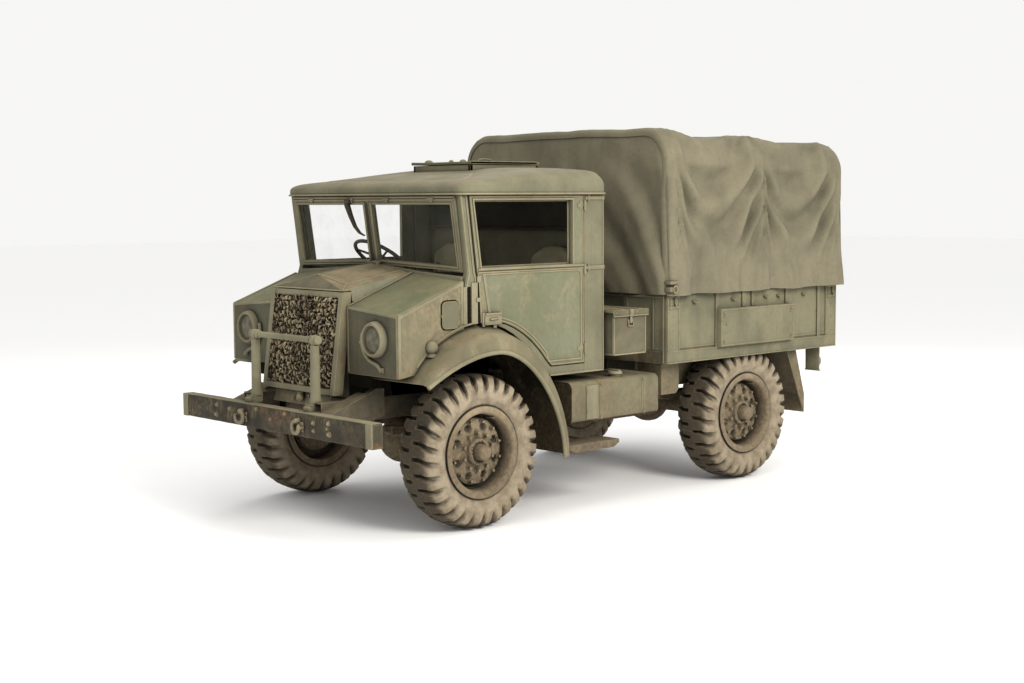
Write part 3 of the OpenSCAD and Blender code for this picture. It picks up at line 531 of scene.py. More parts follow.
def tyre(name, y, side):
    """A bar-lug tyre: both halves' lugs are half a pitch apart, and run down the shoulders."""
    bm = bmesh.new()
    count = len(TREAD_TOP)
    half = []
    for k in range(2 * count - 1):
        i, t = divmod(k, 2)
        j = min(i + 1, count - 1)
        half.append([lerp(Vector(row[i]), Vector(row[j]), t / 2) for row in (TREAD_TOP, TREAD_LOW)])
    line = [(-1, *p) for p in half[:0:-1]] + [(1, *p) for p in half]
    seed = y * 3 + side
    rows = []
    for turn in range(LUGS):
        wobble = rng.uniform(-0.03, 0.03)
        wear = rng.uniform(0.9, 1.0)
        for f in LUG_STOPS:
            row = []
            for s, top, low in line:
                x = top[0]
                if x < 14:
                    m = max(lug(f, x), lug(f + 0.5, x))
                else:
                    m = lug(f if s > 0 else f + 0.5, x)
                slant = 0.34 * smooth(60, 139, x) * s + 0.22 * smooth(440, 345, top[1]) * s
                p = lerp(low, top, m * wear)
                p = Vector((p.x * lerp(1, 1.07 if s > 0 else 1.17, smooth(300, 360, p.y)), p.y))
                a = (turn + f + slant + wobble * m) / LUGS * 2 * math.pi
                q = Vector((s * p[0], p[1] * math.cos(a), p[1] * math.sin(a)))
                chip = noise.noise(q * 0.035 + Vector((seed, 0, 0))) * 3.2 + noise.noise(q * 0.12) * 1.6
                fade = smooth(300, 360, p[1])
                r = p[1] + chip * fade * (0.6 if p[1] > 470 else 1) - (2 if p[1] > 470 else 0)
                out = s * (p[0] - fade * 1.2 + chip * fade * 0.4)
                row.append(Vector((side * HALF_TRACK + out / 1000, y + r * math.cos(a) / 1000,
                                   AXLE_Z + r * math.sin(a) / 1000)))
            rows.append(row)
    grid_mesh(bm, rows, closed_u=False, closed_v=True)
    body = name.replace("tyre_", "") + "_wheel"
    done(bm, name + "_rubber", "tyre", body, [name], 50)


# Outer side of a wheel from the back of the hub to the cap, as (radius, distance outboard)
WHEEL_LINE = [(0, -40), (186, -40), (190, -36), (190, -6), (192, -4), (238, 2), (244, -4), (245, -112),
              (250, -119), (287, -122), (290, -118), (287, -114), (266, -110), (262, -104), (262, 104),
              (266, 110), (284, 112), (290, 117), (290, 123), (286, 127), (262, 128), (252, 125), (246, 119),
              (242, 106), (240, 80), (239, 50), (237, 24), (234, 12), (229, 9), (224, 12), (219, 22),
              (215, 36), (209, 46), (200, 49), (186, 49), (178, 50), (166, 53), (154, 57), (144, 59),
              (132, 60), (120, 60), (108, 60), (98, 61), (90, 63), (87, 68), (85, 78), (82, 88), (76, 92),
              (66, 93), (59, 91), (56, 86), (54, 88), (52, 100), (51, 128), (49, 142), (45, 151), (37, 158),
              (26, 162), (12, 164), (0, 164.5)]


def wheel(name, y, side):
    """A deep dished wheel with hand holes, three bolt circles, a domed cap and caked mud."""
    body = name.replace("wheel_", "") + "_wheel"
    bm = bmesh.new()
    sides = 144
    centre = Vector((side * HALF_TRACK, y, AXLE_Z))
    rows = []
    for k in range(sides):
        a = 2 * math.pi * k / sides
        row = []
        for r, x in WHEEL_LINE:
            p = Vector((math.cos(a) * r, math.sin(a) * r, x))
            if x > 34 and 60 < r < 217:
                hole = min(abs((a * 8 / (2 * math.pi)) % 1 - 0.5) * 2 * math.pi / 8 * r / 24, 3)
                pit = smooth(1.15, 0.7, math.hypot(hole, (r - 162) / 22))
                x += -28 * pit + (noise.noise(p * 0.03 + Vector((y, side, 0))) * 7
                                  + abs(noise.noise(p * 0.085)) * 11) * smooth(217, 200, r) * (1 - pit)
            if r:
                r += noise.noise(p * 0.05) * 0.8
            row.append(centre + Vector((side * x, math.cos(a) * r, math.sin(a) * r)) / 1000)
        rows.append(row)
    grid_mesh(bm, rows, closed_v=True)
    bmesh.ops.remove_doubles(bm, verts=bm.verts, dist=0.00002)
    done(bm, name + "_disc", "wheel", body, [name], 40)
    bm = bmesh.new()
    for count, radius, x, r, h in ((12, 0.19, 0.052, 0.0105, 0.019), (10, 0.118, 0.06, 0.0115, 0.024),
                                   (8, 0.071, 0.091, 0.006, 0.007)):
        for k in range(count):
            a = 2 * math.pi * (k + 0.5) / count
            place = centre + Vector((side * x, math.cos(a) * radius, math.sin(a) * radius))
            bolt(bm, place, (side, 0, 0), r, h)
    a = 1.1
    p = [centre + Vector((side * x, math.cos(a) * r, math.sin(a) * r)) for r, x in
         ((0.229, 0.01), (0.231, 0.07), (0.236, 0.105))]
    tube(bm, p, 0.005, 10)
    done(bm, name + "_nuts", "wheel", body, [], 30)


for end, y in (("front", AXLE_Y), ("rear", REAR_Y)):
    for where, side in (("left", 1), ("right", -1)):
        tyre(f"tyre_{end}_{where}", y, side)
        wheel(f"wheel_{end}_{where}", y, side)

# ---- Canvas tilt ----

SLOPE = math.tan(math.radians(1.87))
BOWS = (1705, 2640, 3530)
TILT_Y = (1622, 3612)
CORNER = 42


def tilt_line():
    """The tilt's outline from the left hem: (point, outward normal, depth below the shoulder)."""
    lean = Vector((908, 30)).normalized()
    out = [(Vector((lerp(1080, 1050, k / 44), lerp(1392, 2300, k / 44))), lean, 908 * (1 - k / 44))
           for k in range(45)]
    for a in [math.radians(90 * k / 14) for k in range(1, 15)]:
        n = Vector((math.cos(a), math.sin(a)))
        out.append((Vector((810 + 240 * math.cos(a), 2300 + 240 * math.sin(a))), n, 0))
    out += [(Vector((lerp(810, 0, k / 22), 2540)), Vector((0, 1)), 0) for k in range(1, 23)]
    return out + [(Vector((-p.x, p.y)), Vector((-n.x, n.y)), d) for p, n, d in out[-2::-1]]


def tilt_offset(p, depth, y):
    """How far the cloth stands out from its taut outline, in millimetres."""
    side = 1 if p.x > 0 else -1
    bay = [(a, b) for a, b in zip(BOWS, BOWS[1:]) if a <= y <= b]
    t = (y - bay[0][0]) / (bay[0][1] - bay[0][0]) if bay else 0
    slack = math.sin(math.pi * t)
    top = smooth(600, 0, depth)
    q = Vector((p.x, y, p.y)) / 1000
    d = -62 * slack ** 1.25 * (0.28 + 0.72 * top) * smooth(0, 300, 908 - depth)
    if depth > 0 or abs(p.x) > 700:
        drop = depth + (240 if abs(p.x) > 1000 else 240 * smooth(700, 1050, abs(p.x)))
        hang = math.sin(math.pi * t ** 0.82)
        level = (drop + 60 - 200 * hang) / (1 + 1.1 * hang) + 20 * noise.noise(q * 2.1)
        swag = math.sin(2 * math.pi * level / 165 + side * 0.5 + (0.9 if bay and bay[0][0] > 2000 else 0))
        d += 40 * swag * slack ** 0.45 * smooth(860, 300, depth) * smooth(-30, 150, drop)
        for k, bow in enumerate(BOWS):
            spread = math.atan2(y - bow, drop + 140)
            ray = math.sin(spread * 21 + k * 1.3 + side)
            d += (18 * ray * math.exp(-(spread / 0.55) ** 2) * smooth(120, 480, drop)
                  * smooth(0, 0.07, abs(spread)))
        low = smooth(520, 908, depth)
        d += 15 * low * math.sin(2 * math.pi * y / 287 + 2.2 * noise.noise(q * 1.7) + side)
        d += 6 * low * math.sin(2 * math.pi * y / 121 + 3 * noise.noise(q * 2.9))
    d += 9 * noise.noise(q * 2.4 + Vector((3, 1, side))) + 3 * noise.noise(q * 9)
    seam = abs(y - 2662)
    d += 3.5 * smooth(16, 9, seam) - 4 * smooth(5, 0, abs(seam - 17))
    return d


def tilt_point(p, n, depth, y, inset):
    d = tilt_offset(p, depth, y) - inset
    x, z = p.x + n.x * d, p.y + n.y * d - (y - TILT_Y[0]) * SLOPE * smooth(1500, 2300, p.y)
    x += math.copysign(26, x) * smooth(2900, 3560, y) * smooth(1900, 1400, z) * (inset < 20)
    if z < 1475:
        x = math.copysign(max(abs(x), 1044), x)
    z += (9 * noise.noise(Vector((y / 260, p.x, 4))) - 3) * smooth(820, 908, depth)
    return x, z


def cloth(bm, name):
    """A sheet of canvas 3 mm thick."""
    bmesh.ops.recalc_face_normals(bm, faces=bm.faces)
    bmesh.ops.solidify(bm, geom=bm.faces[:], thickness=0.003)
    obj = done(bm, name, "canvas", "chassis", ["canvas_tilt"], 70)
    return obj


def canvas():
    line = tilt_line()
    bm = bmesh.new()
    rows = []
    for k in range(-6, 139):
        if k < 0:
            a = math.pi / 2 * min(1, -k / 5)
            y = TILT_Y[0] + CORNER * (1 - math.sin(a))
            inset = CORNER * (1 - math.cos(a)) + (12 if k == -6 else 0)
        elif k > 132:
            a = math.pi / 2 * min(1, (k - 132) / 5)
            y = TILT_Y[1] - CORNER * (1 - math.sin(a))
            inset = CORNER * (1 - math.cos(a)) + (12 if k == 138 else 0)
        else:
            y, inset = lerp(TILT_Y[0] + CORNER, TILT_Y[1] - CORNER, k / 132), 0
        row = []
        for p, n, depth in line:
            x, z = tilt_point(p, n, depth, y, inset)
            row.append(at(x, y, z))
        rows.append(row)
    grid_mesh(bm, rows)
    cloth(bm, "canvas_cover")
    for name, y0, face in (("canvas_front", TILT_Y[0] + 9, -1), ("canvas_back", TILT_Y[1] - 9, 1)):
        bm = bmesh.new()
        rows = []
        for j in range(60):
            top = 2502 - (60 if face > 0 else 0)
            z = lerp(1394, top, j / 59)
            crown = top - 202
            half = (lerp(1080, 1050, (z - 1392) / 908) if z < crown else
                    810 + math.sqrt(max(0, 240 ** 2 - (z - crown) ** 2))) - 20
            row = []
            for i in range(101):
                s = i / 50 - 1
                x = s * half
                fall = smooth(2480, 1950, z)
                u = abs(x) * 0.8 + (z - 1400) * 0.55
                q = Vector((x, z, face * 500)) / 1000
                warp = 1.8 * noise.noise(q * 1.6)
                w = (22 * math.sin(2 * math.pi * u / 390 + warp + 0.6)
                     + 6 * math.sin(2 * math.pi * u / 171 + 2 * warp))
                w += 10 * noise.noise(q * 3) + 2 * noise.noise(q * 11)
                edge = smooth(1.0, 0.93, abs(s)) * smooth(top, top - 62, z)
                out = (w * fall + 16 * fall) * edge - 4 * (1 - edge)
                row.append(at(x, y0 + face * out, z + 7 * noise.noise(Vector((x / 180, face, 2))) * (j == 0)))
            rows.append(row)
        grid_mesh(bm, rows)
        cloth(bm, name)
    # Lacing strap and buckle at the front corners
    bm = bmesh.new()
    for side in (1, -1):
        for z, tall in ((1432, 34), (1478, 22)):
            box(bm, at(side * 1030, 1612, z - tall / 2), at(side * 1079, 1618, z + tall / 2), 0.002)
            box(bm, at(side * 1078, 1612, z - tall / 2), at(side * 1084, 1700, z + tall / 2), 0.002)
    done(bm, "tilt_straps", "canvas")
    bm = bmesh.new()
    for side in (1, -1):
        c = at(side * 1088, 1660, 1432)
        ring = [c + Vector((0, math.cos(a) * 0.02, math.sin(a) * 0.024)) for a in
                [2 * math.pi * k / 20 for k in range(20)]]
        tube(bm, ring, 0.004, 8, closed=True)
        tube(bm, [c + Vector((0, 0, -0.022)), c + Vector((0.002 * side, 0, 0.022))], 0.003, 8)
    done(bm, "tilt_buckles", "pale")


canvas()

# ---- Roof ----


def rounded_ring(half, y0, y1, z, r, steps=8, along=6):
    """Points round a rectangle with rounded corners, in millimetres."""
    pts = []
    for cx, cy, start in ((half - r, y1 - r, 0), (-half + r, y1 - r, 90), (-half + r, y0 + r, 180),
                          (half - r, y0 + r, 270)):
        for k in range(steps + 1):
            a = math.radians(start + 90 * k / steps)
            pts.append(at(cx + r * math.cos(a), cy + r * math.sin(a), z))
        nxt = {0: (-half + r, y1), 90: (-half, y0 + r), 180: (half - r, y0), 270: (half, y1 - r)}[start]
        last = pts[-1]
        goal = at(nxt[0], nxt[1], z)
        pts += [last.lerp(goal, k / along) for k in range(1, along)]
    return pts


def roof():
    bm = bmesh.new()
    steps = [(6, 2083), (0, 2083), (0, 2092), (4, 2094), (2, 2112), (2, 2140), (5, 2160), (11, 2178),
             (21, 2194), (35, 2208), (54, 2220), (80, 2229), (120, 2237), (180, 2244), (260, 2250),
             (350, 2256), (430, 2261), (500, 2264), (600, 2267)]
    rings = []
    for d, z in steps:
        rear = 1168 - min(d, 30) - max(0, d - 30) * 0.04
        ring = rounded_ring(927 - d, -134 + d * 1.3, rear, z, max(12, 62 - 0.3 * d))
        for p in ring:
            p.z -= 0.46 * max(0, p.z - 2.094) * smooth(-0.55, -1.42, p.y)
        rings.append(ring)
    inner = [rounded_ring(927 - 34, -134 + 34, 1168 - 34, 2083, 40),
             rounded_ring(927 - 46, -134 + 50, 1168 - 46, 2140, 40),
             rounded_ring(700, 60, 1100, 2185, 40), rounded_ring(480, 320, 1090, 2222, 30)]
    rows = inner[::-1] + rings
    verts = grid_mesh(bm, rows, closed_u=True)
    bm.faces.new(verts[0][::-1])
    bm.faces.new(verts[-1])
    done(bm, "roof_skin", "cab", stands_for=["cab_roof"], angle=50)
    bm = bmesh.new()
    ring = rounded_ring(928, -135, 1169, 2088, 62)
    tube(bm, ring, 0.0065, 8, closed=True)
    for x0, x1, y0, y1 in ((-300, -276, 500, 1120), (276, 300, 500, 1120), (-300, 300, 500, 524),
                           (-300, 300, 1096, 1120)):
        box(bm, at(x0, y0, 2240), at(x1, y1, 2284), 0.003)
    done(bm, "roof_rail", "trim")
    bm = cleaned("roof_hatch_lid")
    bevelled(bm, 0.004)
    box(bm, at(-310, 490, 2290), at(-292, 1100, 2309), 0.003)
    box(bm, at(292, 490, 2290), at(310, 1100, 2309), 0.003)
    for x, y, r in ((-205, 560, 24), (-60, 640, 15), (110, 600, 20)):
        turned(bm, at(x, y, 2304), (0, 0, 1), [(r * 0.0014, 0), (r * 0.0012, 0.006), (r * 0.001, 0.012),
                                              (r * 0.0006, 0.018), (0, 0.02)], 16)
    tube(bm, [at(150, 700, 2304), at(150, 706, 2322), at(150, 760, 2326), at(150, 814, 2322),
              at(150, 820, 2304)], 0.006, 10)
    done(bm, "hatch_lid_skin", "green", "roof_hatch_lid", ["roof_hatch_lid"])


roof()

# ---- Fenders ----

CROWN = ([(-500, 955), (-380, 1120), (-170, 1236), (95, 1236)],
         [(95, 1236), (370, 1236), (715, 870), (722, 395)])
LIP = ([(-505, 940), (-330, 1040), (-140, 1117), (60, 1117)],
       [(60, 1117), (330, 1117), (620, 760), (632, 400)])


def along(curves, t):
    return cubic(curves[0], t * 2) if t < 0.5 else cubic(curves[1], t * 2 - 1)


def outward(p):
    return (p - Vector((60, 486))).normalized()


def root_line(t, gap=0.0):
    o = along(CROWN, t)
    return o + outward(o) * (35 * math.sin(math.pi * t) + gap)


def fender(side, name):
    bm = bmesh.new()
    rows, edge = [], []
    for k in range(97):
        t = k / 96
        o, lo, r = along(CROWN, t), along(LIP, t), root_line(t)
        n = outward(o)
        outer = [(505, r), (620, r), (740, r), (820, r), (858, r), (895, r.lerp(o, 0.35)),
                 (930, r.lerp(o, 0.8))]
        for a in range(0, 91, 9):
            c, s = math.cos(math.radians(a)), math.sin(math.radians(a))
            outer.append((960 + 104 * s, lo + (o - lo) * c))
        inner = []
        for i in range(len(outer) - 1, -1, -1):
            roll = max(0, i - 5) / (len(outer) - 6)
            inner.append((outer[i][0] - 5 * roll, outer[i][1] - n * 6 * (1 - 0.8 * roll)))
        rows.append([at(side * x, p.x, p.y) for x, p in outer + inner])
        edge.append(at(side * 1062, lo.x, lo.y) + Vector((0, -n.x, -n.y)) * 0.003)
    verts = grid_mesh(bm, rows, closed_u=True)
    bm.faces.new(verts[0])
    bm.faces.new(verts[-1][::-1])
    bmesh.ops.recalc_face_normals(bm, faces=bm.faces)
    obj = done(bm, name, "nose", stands_for=["front_fenders"], angle=50)
    hub = at(0, 60, 486)
    # Painted shade, with some mud, on the faces that turn in towards the wheel.
    second(obj, "arch", lambda f: (f.normal.y * (f.center.y - hub.y)
                                   + f.normal.z * (f.center.z - hub.z)) < -0.05)
    bm = bmesh.new()
    tube(bm, edge, 0.014, 12)
    done(bm, name + "_edge", "trim", angle=50)
    # Apron inside the arch
    bm = bmesh.new()
    top = [root_line(0.14 + 0.58 * k / 24) for k in range(25)]
    rows = []
    for p in top:
        foot = Vector((min(470, max(-330, p.x)), 830))
        rows.append([at(side * 496, lerp(p.x, foot.x, f), lerp(p.y, foot.y, f)) for f in (0, 0.33, 0.66, 1)])
    grid_mesh(bm, rows)
    bmesh.ops.solidify(bm, geom=bm.faces[:], thickness=0.006)
    done(bm, name + "_apron", "arch", angle=40)


fender(1, "fender_left")
fender(-1, "fender_right")

# ---- Nose, hood and grille ----

for node, mat, width in (("nose_panels", "nose", 4), ("hood", "hood", 5), ("cab_shell", "cab", 3),
                         ("left_door", "door", 3), ("right_door", "door", 3), ("windscreen_frame", "cab", 3),
                         ("windscreen_glass", "glass", 0), ("cab_floor", "inside", 4),
                         ("brush_guard", "trim", 3), ("frame_rails", "frame", 3),
                         ("cross_members", "frame", 3), ("frame_brackets", "frame", 3),
                         ("steering_column", "frame", 2), ("front_axle", "axle", 3), ("rear_axle", "axle", 3),
                         ("engine_block", "engine", 6), ("gearbox", "engine", 4),
                         ("propeller_shafts", "axle", 2), ("exhaust", "exhaust", 2),
                         ("fuel_tanks", "tank", 4), ("splash_plates", "dirty", 2), ("bed_floor", "inside", 3),
                         ("bed_sides", "body", 3), ("tilt_bows", "frame", 0), ("toolboxes", "box", 3),
                         ("toolbox_lid_left", "box", 3), ("toolbox_lid_right", "box", 3),
                         ("tailgate", "body", 3), ("steering_wheel", "rim", 0), ("knuckle_left", "axle", 3),
                         ("knuckle_right", "axle", 3), ("tie_rod", "axle", 1), ("grille", "black", 0)):
    obj = refined(node, mat, width)
    if node == "hood":
        # Painted shade on the hood's front-facing slope.
        second(obj, "shade", lambda f: f.normal.y < -0.45)
        second(obj, "hood_side", lambda f: abs(f.normal.x) > 0.45)
    elif node == "nose_panels":
        # Painted shade on the nose boxes' front faces and on their downward faces.
        second(obj, "shade", lambda f: f.normal.y < -0.7 and abs(f.center.x) > 0.4)
        second(obj, "nose_top", lambda f: f.normal.z > 0.5 and abs(f.center.x) > 0.4)
        second(obj, "arch", lambda f: f.normal.z < -0.4)
    elif node == "fuel_tanks":
        # Painted shade on the tanks' front ends and downward faces.
        second(obj, "arch", lambda f: f.center.y < -0.46 or f.normal.z < -0.6)
    elif node == "bed_sides":
        second(obj, "rail", lambda f: f.center.z < 1.004)
    elif node == "cab_shell":
        # Painted shade on the cab's downward faces.
        second(obj, "arch", lambda f: f.normal.z < -0.7)


def plate(bm, low, high, bevel=0.002):
    """A box between two points given in millimetres, y from the front axle."""
    box(bm, at(*low), at(*high), bevel)


def mirrored(bm):
    """Adds the mirror image on the truck's other side."""
    made = bmesh.ops.duplicate(bm, geom=bm.verts[:] + bm.edges[:] + bm.faces[:])
    verts = [g for g in made["geom"] if isinstance(g, bmesh.types.BMVert)]
    faces = [g for g in made["geom"] if isinstance(g, bmesh.types.BMFace)]
    for v in verts:
        v.co.x = -v.co.x
    bmesh.ops.reverse_faces(bm, faces=faces)


def side_line(x, points):
    """Row-frame points on a plane of constant x from (y, z) pairs."""
    return [at(x, y, z) for y, z in points]


def arc_points(cx, cy, r, a0, a1, n):
    return [(cx + r * math.cos(math.radians(lerp(a0, a1, k / n))),
             cy + r * math.sin(math.radians(lerp(a0, a1, k / n)))) for k in range(n + 1)]


def rounded_rect(y0, y1, z0, z1, r):
    return (arc_points(y1 - r, z1 - r, r, 0, 90, 5) + arc_points(y0 + r, z1 - r, r, 90, 180, 5)
            + arc_points(y0 + r, z0 + r, r, 180, 270, 5) + arc_points(y1 - r, z0 + r, r, 270, 360, 5))


# ---- Nose details ----


def nose_details():
    # Light borders of the nose boxes, and the louvre-like seam along their tops
    bm = bmesh.new()
    foot = [root_line(0.04 + 0.42 * k / 14, 14) for k in range(15)]
    strip(bm, side_line(900, [(-590, 1002), (-590, 1353), (-96, 1536), (-96, foot[-1].y + 8)]), 0.02, 0.003,
          (1, 0, 0))
    strip(bm, side_line(900, [(p.x, p.y + 9) for p in foot[1:]]), 0.012, 0.003, (1, 0, 0))
    strip(bm, [at(x, -600, z) for x, z in ((888, 990), (888, 1356), (400, 1394), (404, 995))], 0.016, 0.003,
          (0, -1, 0))
    strip(bm, [at(400, -598, 1402), at(400, -88, 1592)], 0.02, 0.004, (0, -0.35, 0.94))
    strip(bm, [at(890, -598, 1364), at(890, -88, 1550)], 0.016, 0.004, (0, -0.35, 0.94))
    # Grille surround
    strip(bm, [at(369, -621.5, 1485), at(369, -706, 852)], 0.044, 0.004, (0, -0.99, 0.13))
    mirrored(bm)
    strip(bm, [at(-345, -619, 1470), at(345, -619, 1470)], 0.034, 0.004, (0, -0.99, 0.13))
    strip(bm, [at(-345, -703, 869), at(345, -703, 869)], 0.034, 0.005, (0, -0.99, 0.13))
    done(bm, "nose_borders", "trim")
    # Hatch in each side panel, with a rolled rim, a hinge and a catch
    bm = bmesh.new()
    outline = side_line(900, rounded_rect(-262, -130, 1264, 1434, 30))
    rows = [[c + Vector((d, 0, 0)) + (m - c) * f for c in outline] for m in [at(900, -196, 1349)] for d, f in
            ((0.0, 0), (0.007, 0), (0.009, 0.05), (0.006, 0.12), (0.0065, 0.5))]
    verts = grid_mesh(bm, rows, closed_u=True)
    bm.faces.new(verts[-1])
    bm.faces.new(verts[0][::-1])
    plate(bm, (898, -134, 1290), (908, -122, 1312))
    plate(bm, (898, -134, 1382), (908, -122, 1404))
    plate(bm, (900, -270, 1336), (911, -246, 1356), 0.003)
    mirrored(bm)
    done(bm, "nose_hatches", "cab")
    # Dark rim behind each hatch, the gap in the cowl's side, and baffles beside the grille that are dark sheets
    # of painted shade
    bm = bmesh.new()
    strip(bm, side_line(900, rounded_rect(-266, -126, 1260, 1438, 34)), 0.009, 0.0012, (1, 0, 0), closed=True)
    strip(bm, side_line(900, [(-41, 1286), (-41, 1516)]), 0.032, 0.001, (1, 0, 0))
    # Baffles: painted shade beside the grille.
    plate(bm, (350, -560, 700), (500, -553, 1120), 0.002)
    plate(bm, (395, -594, 905), (620, -588, 990), 0.002)
    mirrored(bm)
    done(bm, "nose_gaps_and_shade_baffles", "black")
    bm = bmesh.new()
    strip(bm, side_line(900, [(-74, 1286), (-74, 1516)]), 0.03, 0.006, (1, 0, 0))
    strip(bm, side_line(900, [(2, 1286), (2, 1540)]), 0.05, 0.007, (1, 0, 0))
    mirrored(bm)
    done(bm, "cowl_beads", "trim")
    # Headlamps: bezel, bowl, lens, and a conduit that curls round the inboard side
    for side, name in ((1, "left"), (-1, "right")):
        c = at(side * 688, -600, 1212)
        bm = bmesh.new()
        turned(bm, c, (0, -1, 0), [(0.111, 0), (0.113, 0.006), (0.111, 0.018), (0.106, 0.034), (0.1, 0.044),
                                   (0.093, 0.047), (0.087, 0.043), (0.084, 0.034), (0.083, 0.022),
                                   (0.079, 0.017), (0.0, 0.015)], 64)
        for k in range(3):
            a = math.radians(90 + 120 * k)
            bolt(bm, c + Vector((math.cos(a) * 0.103, -0.04, math.sin(a) * 0.103)), (0, -1, 0), 0.004, 0.005)
        path = [c + Vector((side * math.cos(a) * r, -0.011, math.sin(a) * r)) for a, r in
                [(math.radians(lerp(165, 262, k / 20)), lerp(0.128, 0.142, k / 20)) for k in range(21)]]
        path += [at(side * (700 + 12 * k), -611, 1066 - 11 * k) for k in range(1, 5)]
        pipe = bmesh.new()
        tube(pipe, path, 0.0125, 12)
        done(pipe, f"headlamp_{name}_conduit", "trim")
        plate(bm, (side * 722, -612, 1014), (side * 764, -598, 1044), 0.004)
        for a in (190, 232):
            q = c + Vector((side * math.cos(math.radians(a)) * 0.135, 0, math.sin(math.radians(a)) * 0.135))
            box(bm, q + Vector((-0.015, -0.022, -0.006)), q + Vector((0.015, 0, 0.006)), 0.002)
        done(bm, f"headlamp_{name}", "lamp", stands_for=["lamps"])
        bm = bmesh.new()
        turned(bm, c, (0, -1, 0), [(0.083, 0.02), (0.08, 0.023), (0.062, 0.03), (0.042, 0.0345),
                                   (0.02, 0.0365), (0, 0.037)], 48)
        done(bm, f"headlamp_{name}_lens", "lens")
        # Marker lamp on the fender
        bm = bmesh.new()
        base = at(side * 905, -350, 1108)
        turned(bm, base, (0, 0, 1), [(0.036, -0.004), (0.036, 0.008), (0.024, 0.016), (0.02, 0.05)], 20)
        ball = at(side * 905, -350, 1160)
        turned(bm, ball, (0, -0.2, 1), [(0.042 * math.sin(math.pi * k / 20),
                                         -0.042 * math.cos(math.pi * k / 20)) for k in range(21)], 36)
        done(bm, f"marker_{name}", "lamp")


nose_details()


def netting():
    """Coarse garnished net over the grille: crossing cords with short twisted strips."""
    def on_grille(x, h, out):
        return at(x, lerp(-672, -600, h) - out, lerp(890, 1447, h))
    bm = bmesh.new()
    for k in range(-17, 33):
        pts = [(x, (x - (-345)) / 690 * 1.15 + k * 0.072) for x in range(-345, 346, 30)]
        for flip in (1, -1):
            line = [on_grille(flip * x, h, 12 + 4 * noise.noise(Vector((x / 50, h * 9, flip))))
                    for x, h in pts if 0 <= h <= 1]
            if len(line) > 2:
                tube(bm, line, 0.0035, 5)
    for j in range(19):
        for i in range(17):
            for extra in range(2):
                x = -326 + 652 * (i + 0.5 * (j % 2)) / 16.5 + rng.uniform(-10, 10)
                h = (j + 0.5) / 19 + rng.uniform(-0.014, 0.014)
                if abs(x) > 338:
                    continue
                c = on_grille(x, min(0.985, max(0.015, h)), 16 + 9 * extra)
                turn = rng.choice((0.6, -0.6, 0.9, -0.9, 0.2)) + rng.uniform(-0.35, 0.35) + 1.57 * extra
                d = Vector((math.cos(turn), 0.0, math.sin(turn)))
                across = Vector((-d.z, 0, d.x))
                out = Vector((0, -1, 0))
                reach = rng.uniform(20, 31) / 1000
                wide = rng.uniform(6, 9.5) / 1000
                curl = rng.uniform(6, 15) / 1000
                rows = []
                for k in range(6):
                    t = k / 5 * 2 - 1
                    m = c + d * reach * t + out * curl * (1 - t * t) + across * 0.004 * math.sin(t * 3 + turn)
                    tip = wide * (1 - 0.55 * t * t)
                    lean = (across * math.cos(t * 0.9 + turn) + out * math.sin(t * 0.9 + turn)).normalized()
                    rows.append([m - lean * tip, m + out * 0.004, m + lean * tip, m - out * 0.002])
                grid_mesh(bm, rows, closed_u=True)
    done(bm, "grille_netting", "net", angle=60)


netting()


def hood_details():
    bm = bmesh.new()
    # Centre hinge bead, side catches and the front lip
    for side in (1, -1):
        strip(bm, [at(side * 385, -545, 1428), at(side * 385, -98, 1582)], 0.012, 0.004, (side, 0, 0.2))
        for y in (-440, -190):
            z = lerp(1428, 1582, (y + 545) / 447)
            plate(bm, (side * 384, y - 14, z - 26), (side * 393, y + 14, z + 6), 0.003)
            plate(bm, (side * 384, y - 7, z - 36), (side * 398, y + 7, z - 18), 0.003)
    strip(bm, [at(x, -619, 1496) for x in (-368, 368)], 0.009, 0.004,
          (0, -0.8, 0.6))
    for x0, x1 in ((-296, 0), (0, 296)):
        tube(bm, [at(x0, -533, 1529 if x0 else 1583), at(x1, -533, 1529 if x1 else 1583)], 0.0045, 8)
    for side in (1, -1):
        tube(bm, [at(side * 374, -618, 1497), at(side * 299, -533, 1529), at(side * 299, -94, 1604)], 0.0045,
             8)
    for x in (-52, 52):
        bolt(bm, at(x * 0.7, -98, 1652), (0, 0, 1), 0.008, 0.006)
    done(bm, "hood_catches", "trim", "hood")


hood_details()

# ---- Bumper and guard ----


